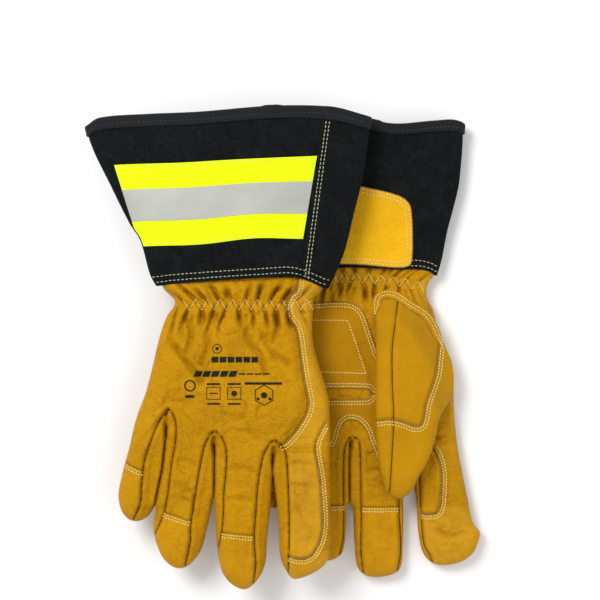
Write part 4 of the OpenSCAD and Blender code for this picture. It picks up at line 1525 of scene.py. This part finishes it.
def thumb_pieces(g):
    """A thumb: one skin, cut into front, back and side walls. Returns the height of its upper face."""
    side = g["side"]
    t = THUMB[side]
    base, seam, row = spline(t["base"]), spline(t["seam"]), spline(t["row"])
    patch_loop = np.vstack([row, [[62, 40], [-40, 40], [-40, row[0][1]]]])
    rise = lambda X, Y: smooth_step(near_field(X, Y, base, 30).clip(0, 40) / 21)

    def top(X, Y, d):
        ramp = rise(X, Y)
        gap, mid = near_field(X, Y, row), near_field(X, Y, seam)
        flat = np.stack([X.ravel(), Y.ravel()], 1)
        out = ~inside(flat, patch_loop).reshape(X.shape)
        relief = (0.5 * noise(X, Y, 26, 41) + 0.22 * noise(X, Y, 9, 42)) * smooth_step(d / 9)
        relief -= 0.22 * creases(X, Y, 15, 43) * smooth_step((d - 3) / 6) - 0.08 * creases(X, Y, 6, 71, 0.16)
        relief += 0.9 * smooth_step(np.where(out, gap, -gap).clip(-9, 9) + 0.3)
        relief += 0.5 * hump((mid - 3.4) / 2.6) - 1.1 * hump(mid / 1.3)
        # Painted shade along the seam valley and along the foot of the second layer's edge.
        tone = -0.45 * hump(mid / 0.6) - 0.6 * hump((np.where(out, gap, -gap) + 0.9) / 0.9) * (gap < FAR)
        crown = 0.8 * smooth_step((d - 10) / 14)
        return (t["half"] - 1.4) * (0.24 + 0.76 * ramp) + crown * ramp + relief, np.clip(tone, -1, 1)

    def bottom(X, Y, d):
        return np.full_like(X, t["half"] - 0.4) * (0.3 + 0.7 * rise(X, Y))

    lo, hi = np.min(t["outline"], 0) - 4, np.max(t["outline"], 0) + 4
    loop = spline(t["outline"], closed=True)
    body = Body(loop, (lo[0], hi[0]), (lo[1], hi[1]), t["radius"], top, bottom)
    ramp = rise(*np.meshgrid(body.x, body.y, indexing="ij"))
    level = t["root"] + (t["level"] - t["root"]) * ramp
    verts, faces = body.mesh()
    centre = verts[faces].mean(1)
    if side == "left":
        inward = centre[:, 0] < x_at(seam, centre[:, 1])
        names = np.where(centre[:, 2] < 0, "left_thumb_back",
                         np.where(inward, "left_thumb_fourchettes", "left_thumb_front"))
    else:
        names = np.where(centre[:, 2] > 1.2, "right_thumb_back",
                         np.where(centre[:, 2] < -1.2, "right_thumb_front", "right_thumb_fourchettes"))
    tone = np.where(verts[:, 2] > 0, body.at(body.tone, verts[:, 0], verts[:, 1]), 0)
    verts[:, 2] += body.at(level, verts[:, 0], verts[:, 1])
    normals = vertex_normals(verts, faces)
    placed = wrist_of(side)[0] + MM * verts
    for node in np.unique(names):
        skin_piece(g, node, faces[names == node], placed, normals, tone, "smooth", "thumb")
    height = lambda x, y: body.z(x, y) + body.at(level, x, y)
    if side == "left":
        on_thumb = lambda x, y: body.at(body.d, x, y) > 1.5
        seam_shadow_strip(g, "thumb", seam, height, "thumb", on_thumb)
        double_row(g, row, height, -1.5, -3.8, part="thumb", keep=on_thumb)
        on_edge = lambda x, y: height(x, y) + 0.4
        raw_edge(g, "thumb_patch", offset_line(row, 0.1), on_edge, "thumb", 0.7, on_thumb)
    return height


# ---------------------------------------------------------------- patches, elastic, lining and marks

# The pads. The right glove's palm patch is the left one's, a little smaller.
PALM_PATCH = run(-46, -11, -36.5, -10, -20.5, -9, -7.5, -10, 0, -14.5, 4.5, -23, 9, -36, 15, -52, 24, -64,
                 26, -76, 22, -80.2, 8.8, -80.2, 7.4, -77.6, 4, -76.3, -28, -76, -60, -76, -66, -72,
                 -64, -52, -58, -32, -51, -15)
KNUCKLE_PATCH = {
    "left": run(-60, -84.6, -28, -84.8, 4, -84.7, 7.4, -83.4, 8.8, -80.8, 24, -80.8, 30, -90, 30, -112,
                22, -128, 13.8, -132.5, 10.5, -125, 7.5, -118, 4, -108, -1, -102.5, -6, -100.5,
                -11.5, -101.5, -15, -106, -17.5, -115, -21, -121.5, -27, -121.5, -33, -113, -38, -105,
                -44, -99, -50, -97, -56, -100, -62, -106, -68, -104, -69, -92, -66, -86),
    "right": run(-60, -66, -30, -68, 0, -70, 22, -72, 30, -80, 28, -92, 21.5, -96, 14, -103, 4, -110,
                 -8, -108, -16, -98, -24, -90, -32, -95, -40, -102, -48, -97, -54, -84, -59, -73),
}
CUFF_PATCH = run(-30, 80, -4.5, 80.5, 12, 77.5, 22.5, 75, 32, 71.5, 37, 67, 39, 61, 40, 42, 39.5, 23.5,
                 37.5, 19, 28, 17.5, -1, 20, -20, 20.5, -33, 21, -36, 26, -37, 50, -36, 74)


def inner_line(outline, inset):
    """A closed line inside an outline, for a row of stitches along a patch's edge."""
    return moved_in(turned_left(spline(outline, 1.2, closed=True)), inset, 0.9)


def hand_patches(g, hand, side_height):
    """The two pads sewn on a glove's palm."""
    side = g["side"]
    palm = PALM_PATCH if side == "left" else [(0.94 * x, 0.84 * y + 3) for x, y in PALM_PATCH]
    up = side == "left"
    height = side_height if up else (lambda x, y: -hand.z_below(x, y))
    turn = (lambda m: m) if up else flip
    outlines = {"palm_patch": palm, "knuckle_patch": KNUCKLE_PATCH[side]}
    for name, outline in outlines.items():
        node = f"{side}_{name}"
        # The pads use the darker patch leather as painted shadow.
        sheet_piece(g, node + "_leather", "hand", MAT["shaded_pad"], [node],
                    [turn(drape(outline, height, PATCH))])
    if up:
        for name, outline in outlines.items():
            patch_edge(g, name, outline, lambda x, y: height(x, y) + 0.5, "hand")
        on_patch = lambda x, y: height(x, y) + PATCH
        for inset in (1.4, 3.6):
            for outline in outlines.values():
                stitches(g, inner_line(outline, inset), on_patch)
        inner = np.array(run(-52, -23, -10, -23.5, 4, -64.5, -52, -62.5), float)
        for a, b in zip(inner[:-1], inner[1:]):
            stitches(g, np.linspace(a, b, 40), on_patch)


# The lining, from the cuff to the fingers: y, its two edges in x, and its half thickness.
LINING = {
    "right": ((20, -59, 53, 4.4), (10, -52, 50, 4.0), (0, -49, 47, 3.7), (-12, -53, 48, 4.6),
              (-40, -64, 51, 6.5), (-64, -70, 56, 6.5), (-84, -68, 57, 5.0), (-96, -60, 50, 2.0),
              (-99, -50, 42, 0.8)),
    "left": ((20, -60, 52, 2.9), (10, -52, 50, 2.5), (0, -49, 47, 2.1), (-12, -52, 48, 3.0),
             (-40, -63, 55, 4.6), (-64, -69, 60, 4.6), (-88, -70, 60, 3.8), (-98, -60, 52, 1.8),
             (-101, -50, 44, 0.7)),
}


def elastic_and_lining(g, half):
    """The ribbed elastic band and the knit lining, both hidden inside the leather."""
    side = g["side"]
    phi = np.linspace(0, 2 * math.pi, 121)[:, None]
    s, c = np.sin(phi), np.cos(phi)
    s, c = np.sign(s) * np.abs(s)**0.8, np.sign(c) * np.abs(c)**0.8
    y = np.linspace(-8, 0, 9)[None]
    ribs = 0.35 * np.sin(phi * 26)
    ring = lambda a, b: np.stack([a * s + 0 * y, y + 0 * s, b * c + ribs + 0 * y], -1)
    outer, inner = ring(46.5, half - 5.0), ring(45.5, half - 6.0)
    node = f"{side}_wrist_elastic"
    sheet_piece(g, node + "_band", "hand", MAT["elastic"], [node],
                [thick_band(outer[::-1], inner[::-1])])
    table = np.array(LINING[side], float)[::-1]
    y = np.linspace(table[0, 0], table[-1, 0], 60)[None]
    lo, hi, b = (np.interp(y, table[:, 0], table[:, k]) for k in (1, 2, 3))
    ripple = 0.25 * noise(phi * 20, y, 7, 5)
    tube = lambda extra: np.stack([(lo + hi) / 2 + ((hi - lo) / 2 + extra) * s, y + 0 * s,
                                   (b + extra) * c + ripple], -1)
    outer, inner = tube(0), tube(-0.7)
    node = f"{side}_lining"
    sheet_piece(g, node + "_knit", "wrist", MAT["lining"], [node],
                [thick_band(outer[::-1], inner[::-1])])


def dense(points, step=1.0):
    """A closed outline with points added along its straight sides."""
    out = []
    for a, b in zip(points, points[1:] + points[:1]):
        k = max(1, int(np.hypot(b[0] - a[0], b[1] - a[1]) / step))
        out += [(a[0] + (b[0] - a[0]) * i / k, a[1] + (b[1] - a[1]) * i / k) for i in range(k)]
    return np.array(out)


def marks(g, height):
    """Plain printed shapes on the back of the hand: rows of blocks, a ring, two frames and a hexagon."""
    ink = lambda x, y: height(x, y) + 0.26
    meshes = []

    def fill(points):
        points = [tuple(p) for p in dense(points)]
        meshes.append(drape(points, ink, 0.06, sink=0.1, spacing=1.3, edge=0, curved=False))

    def frame_of(points, width):
        loop = spline(points, 0.8, closed=True) if len(points) > 8 else np.array(points, float)
        outer = dense([tuple(p) for p in loop])
        centre = outer.mean(0)
        inner = centre + (outer - centre) * (1 - 2 * width / np.ptp(outer[:, 0]))
        grid = np.stack([outer, inner], 1)
        z = ink(grid[..., 0], grid[..., 1]) + 0.06
        meshes.append(band(np.concatenate([grid, z[..., None]], -1), wrap=True, flipped=True))

    def block(x, y, w, h, slant=0.0):
        fill([(x, y), (x + w, y), (x + w + slant, y + h), (x + slant, y + h)])

    for k in range(6):
        block(-24.5 + 6.0 * k, -43.4, 4.9, 4.2)
    for k in range(5):
        block(-38.5 + 6.6 * k, -54.2, 5.4, 4.4, 1.8)
    for k in range(4):
        block(-4.6 + 6.2 * k, -52.6, 5.0, 1.0, 0.4)

    def circle(x, y, r, n):
        turns = [2 * math.pi * k / n for k in range(n)]
        return [(x + r * math.sin(turn), y + r * math.cos(turn)) for turn in turns]

    frame_of(circle(-20.5, -33, 3.6, 16), 0.5)
    fill(circle(-20.5, -33, 1.3, 10))
    frame_of(circle(-41, -61, 4.4, 18), 1.0)
    block(-44.6, -70.2, 7.0, 2.0)
    for x in (-23.2, -7.6):
        frame_of([(x - 5.3, -62), (x + 5.3, -62), (x + 5.3, -71.5), (x - 5.3, -71.5)], 0.45)
        block(x - 4.8, -75.4, 9.6, 1.3)
        block(x - 5.0, -60.4, 10.0, 1.4)
    block(-26.4, -67.2, 6.4, 0.8)
    fill(circle(-7.6, -66.8, 2.2, 10))
    frame_of(circle(15, -68.2, 8.0, 6), 0.6)
    block(0.5, -60.2, 28, 1.8)
    fill(circle(15, -68.2, 2.4, 10))
    fill(circle(10.4, -71, 1.2, 8))
    fill(circle(19.6, -71, 1.2, 8))
    sheet_piece(g, "right_back_marks", "hand", MAT["ink"], [], meshes)


EDGE_SIDES = 7


def kept(line, keep):
    """The points of a line that pass a test."""
    return line if keep is None else np.array([p for p in line if keep(*p)])


def raw_edge(g, name, line, height, part="hand", size=0.5, keep=None, flat=0.9):
    """The cut edge of a layer of leather: an uneven fuzzy bead along a line."""
    line = kept(line, keep)
    along = np.gradient(line, axis=0)
    along /= np.linalg.norm(along, axis=1)[:, None]
    across = np.stack([-along[:, 1], along[:, 0]], 1)
    rough = 0.75 + 0.3 * noise(line[:, 0], line[:, 1], 2.0, 61) + 0.2 * noise(line[:, 0], line[:, 1], 0.9, 62)
    z = height(line[:, 0], line[:, 1])
    rings = []
    for k in range(EDGE_SIDES):
        angle = 2 * math.pi * k / EDGE_SIDES
        side, rise = math.cos(angle) * size * rough, math.sin(angle) * flat * size * rough
        xy = line + across * side[:, None]
        rings.append(np.column_stack([xy, z + rise]))
    grid = np.stack(rings, 0)
    verts, faces = band(grid, wrap=True)
    n = len(line)
    faces += [[k * n for k in range(EDGE_SIDES - 1, -1, -1)], [k * n + n - 1 for k in range(EDGE_SIDES)]]
    obj = build(f"{g['side']}_{name}_raw_edge", lay(g, verts), faces, MAT["edge"])
    fasten(obj, g, part)


def patch_edge(g, name, outline, height, part):
    """The cut edge all round a patch."""
    loop = inner_line(outline, 0.1)
    raw_edge(g, name, np.vstack([loop, loop[:2]]), height, part, 0.62)


def seam_shadow_strip(g, name, line, height, key, keep=None):
    """A strip of painted shade at the bottom of a turned seam, in the shadowed gap where the two leathers
    meet.
    """
    line = kept(line, keep)
    if len(line) < 4:
        return
    offsets = (-0.46, -0.22, 0.22, 0.46)
    grid = np.stack([offset_line(line, c) for c in offsets], 1)
    z = height(line[:, 0], line[:, 1])
    z[2:-2] = (z[:-4] + z[1:-3] + z[2:-2] + z[3:-1] + z[4:]) / 5
    z = z[:, None] + np.array([-0.45, 0.36, 0.36, -0.45])
    v, f = band(np.concatenate([grid, z[..., None]], -1))
    if np.cross(v[4] - v[0], v[1] - v[0])[2] > 0:
        f = [face[::-1] for face in f]
    obj = build(f"{g['side']}_{name}_seam", lay(g, v), f, MAT["seam"])
    fasten(obj, g, key)


def finger_seams(g, hand, height):
    """The painted shade strips along the finger seams and round the crotches between them."""
    on_top = lambda x, y: hand.at(hand.d, x, y) > 1.2
    for name in FINGERS:
        key = name if along_finger(g["side"], name) else "wrist"
        for k, line in enumerate(g["seams"][name]):
            if not line or (name == "index" and k == 1):
                continue
            seam_shadow_strip(g, f"{name}_{'far' if k == 0 else 'near'}", spline(line), height, key, on_top)
    for k, line in enumerate(crotch_seams(g)):
        seam_shadow_strip(g, f"{FINGERS[k]}_crotch", line, height, "wrist")


def level_along(row, levels):
    """A height function that takes the level of the nearest point of a row."""
    def height(x, y):
        x, y = np.atleast_1d(x), np.atleast_1d(y)
        k = np.argmin((row[None, :, 0] - x[:, None])**2 + (row[None, :, 1] - y[:, None])**2, 1)
        return levels[k]
    return height


def collar(g, hand_z, thumb_z):
    """The band of palm leather sewn over the root of the left thumb, with its raw edge on the thumb."""
    line = spline(COLLAR, 1.0)
    across = np.array([-1.6, -1.0, 0.0, 1.2, 2.4, 3.6, 4.6, 5.0])
    run_in = np.linspace(0, 1, len(line))
    taper = smooth_step(run_in / 0.10) * smooth_step((1 - run_in) / 0.16) * 0.85 + 0.15
    sideways = offset_line(line, -1.0) - line
    grid = line[:, None] + sideways[:, None] * (across[None] * taper[:, None])[..., None]
    x, y = grid[..., 0], grid[..., 1]
    lift = np.interp(across, (-1.6, -0.9, 4.6, 5.0), (-0.5, 0.7, 0.9, 0.7))[None]
    top = np.maximum(hand_z(x, y), thumb_z(x, y))
    for _ in range(3):
        top[1:-1] = (top[:-2] + 2 * top[1:-1] + top[2:]) / 4
    top = top + lift
    upper = np.concatenate([grid, top[..., None]], -1)
    lower = upper - [0, 0, 1.3]
    area = np.cross(grid[1, 0] - grid[0, 0], grid[0, 1] - grid[0, 0])
    mesh = thick_band(upper, lower) if area > 0 else thick_band(upper[::-1], lower[::-1])
    sheet_piece(g, "left_thumb_collar_leather", "hand", MAT["gold"], [], [mesh])
    for column in (2, 4):
        row = grid[:, column]
        stitches(g, row, level_along(row, top[:, column] + 0.05), "wrist", 2.1)
    end = grid[:, -1]
    raw_edge(g, "collar", end, level_along(end, top[:, -1] - 0.4), size=0.7)


def zigzag_row(g, height):
    """The stitch that holds the wrist elastic: up to a peak and down to a valley in turn."""
    x0, x1, pitch = g["zigzag"]
    points = []
    for k in range(int((x1 - x0) / pitch) + 2):
        x = x0 + k * pitch
        centre = float(gather_level(g, x))
        points += [(x, centre + 4.2), (x + pitch / 2, centre - 3.9)]
    points = [p for p in points if p[0] < x1 + 4]
    for a, b in zip(points[:-1], points[1:]):
        stitches(g, np.linspace(a, b, 12), height, pitch=1.95, size=0.44, fill=0.7)


def glove(g):
    """Every piece of one glove, apart from its stitches, which are gathered in THREADS."""
    _, half = wrist_of(g["side"])
    hand = hand_pieces(g)
    height = hand.z
    for name, line in g["tips"].items():

        def on_strip(x, y, name=name):
            px, py = np.array([x]), np.array([y])
            mine = finger_at(g["side"], px, py)[0] == FINGERS.index(name)
            return mine and strip_mask(g, name, px, py)[0] and hand.at(hand.d, x, y) > 2

        double_row(g, spline(line), height, -1.0, -3.2, keep=on_strip)
    hook = spline(g["seams"]["index"][1])
    on_index = lambda x, y: hand.at(hand.d, x, y) > 2 and y < INDEX_ROWS_START[g["side"]]
    double_row(g, hook, height, 1.2, 3.3, keep=on_index)
    finger_seams(g, hand, height)
    on_hook = lambda x, y: on_index(x, y) and y < INDEX_EDGE_START[g["side"]]
    raw_edge(g, "index_patch", offset_line(hook, -0.3), lambda x, y: height(x, y) + PATCH_RISE, "index",
             1.35, on_hook, 0.6)
    zigzag_row(g, height)
    if g["back_up"]:
        wrap = spline(g["wrap"])
        on_wrap = lambda x, y: y < 19 and hand.at(hand.d, x, y) > 1.5
        double_row(g, wrap, height, 1.2, 3.6, keep=on_wrap)
        marks(g, height)
        raw_edge(g, "wrap", offset_line(wrap, -0.2), lambda x, y: height(x, y) + 0.35, "wrist", 0.85,
                 lambda x, y: y < 17 and y > -104)
    hand_patches(g, hand, height)
    elastic_and_lining(g, half)
    thumb_z = thumb_pieces(g)
    if not g["back_up"]:
        collar(g, height, thumb_z)
    cuff, cuff_top = cuff_pieces(g)
    cuff_base = lambda x, y: -cuff.z(x, y, -1)
    right = g["back_up"]
    tape_pieces(g, cuff_top if right else cuff_base, 1 if right else -1)
    patch = flip(drape(CUFF_PATCH, cuff_base, PATCH)) if right else drape(CUFF_PATCH, cuff_top, PATCH)
    node = g["side"] + "_cuff_patch"
    sheet_piece(g, node + "_leather", "cuff", MAT["cuff_patch"], [node], [patch])
    if not right:
        patch_edge(g, "cuff_patch", CUFF_PATCH, lambda x, y: cuff_top(x, y) + 0.5, "cuff")
        for inset in (1.6, 4.2):
            stitches(g, inner_line(CUFF_PATCH, inset), lambda x, y: cuff_top(x, y) + PATCH, "cuff", 2.8)


def gather_level(g, x):
    """How far up the elastic's stitching sits at x."""
    if g["back_up"]:
        return 0.0 * np.asarray(x)
    return np.interp(x, (-60, -13, 6.5, 25, 44, 52), (10, 10, 8.8, 7, 3, 0.5))


for g in (LEFT, RIGHT):
    glove(g)
make_threads({"left": LEFT, "right": RIGHT})


# ---------------------------------------------------------------- floor, light and camera

floor_mat = bpy.data.materials.new("floor")
floor_mat.use_nodes = True
floor_mat.node_tree.nodes["Principled BSDF"].inputs["Base Color"].default_value = (0.9, 0.9, 0.9, 1)
floor_mat.node_tree.nodes["Principled BSDF"].inputs["Roughness"].default_value = 0.9
floor_mesh = bpy.data.meshes.new("floor")
floor_corners = [(x, y, -0.0005) for x, y in ((-4, -4), (4, -4), (4, 4), (-4, 4))]
floor_mesh.from_pydata(floor_corners, [], [(0, 1, 2, 3)])
floor_mesh.materials.append(floor_mat)
floor = bpy.data.objects.new("floor", floor_mesh)
bpy.context.scene.collection.objects.link(floor)
floor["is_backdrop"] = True


def area(name, place, size, energy, target=(0.0, 0.0, 0.02)):
    light = bpy.data.lights.new(name, "AREA")
    light.shape, light.size, light.energy = "SQUARE", size, energy
    obj = bpy.data.objects.new(name, light)
    obj.location = place
    obj.rotation_euler = (Vector(target) - Vector(place)).to_track_quat("-Z", "Y").to_euler()
    bpy.context.scene.collection.objects.link(obj)


area("key", (-0.75, 0.75, 1.35), 0.75, 22)
area("fill", (1.3, -0.2, 1.5), 1.8, 10)
area("front", (0.0, -1.5, 1.3), 1.6, 5)
world = bpy.data.worlds.new("studio")
world.use_nodes = True
world.node_tree.nodes["Background"].inputs["Color"].default_value = (1, 1, 1, 1)
world.node_tree.nodes["Background"].inputs["Strength"].default_value = 0.5
bpy.context.scene.world = world

# The picture is VIEW_WIDTH across at the level of the upper glove's back, all in metres.
CAMERA_HEIGHT, TOP_LEVEL, VIEW_WIDTH = 1.30, 0.042, 0.456
SENSOR = 36
camera = bpy.data.objects.new("camera", bpy.data.cameras.new("camera"))
camera.location = (0.0169, 0.0401, CAMERA_HEIGHT)
camera.data.sensor_width = SENSOR
camera.data.lens = SENSOR * (CAMERA_HEIGHT - TOP_LEVEL) / VIEW_WIDTH
camera.data.clip_end = 30
bpy.context.scene.collection.objects.link(camera)
bpy.context.scene.camera = camera
bpy.context.scene.view_settings.view_transform = "Standard"

{"cad": CAD_BOUNDS, "visual": [list(corner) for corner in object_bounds()]}
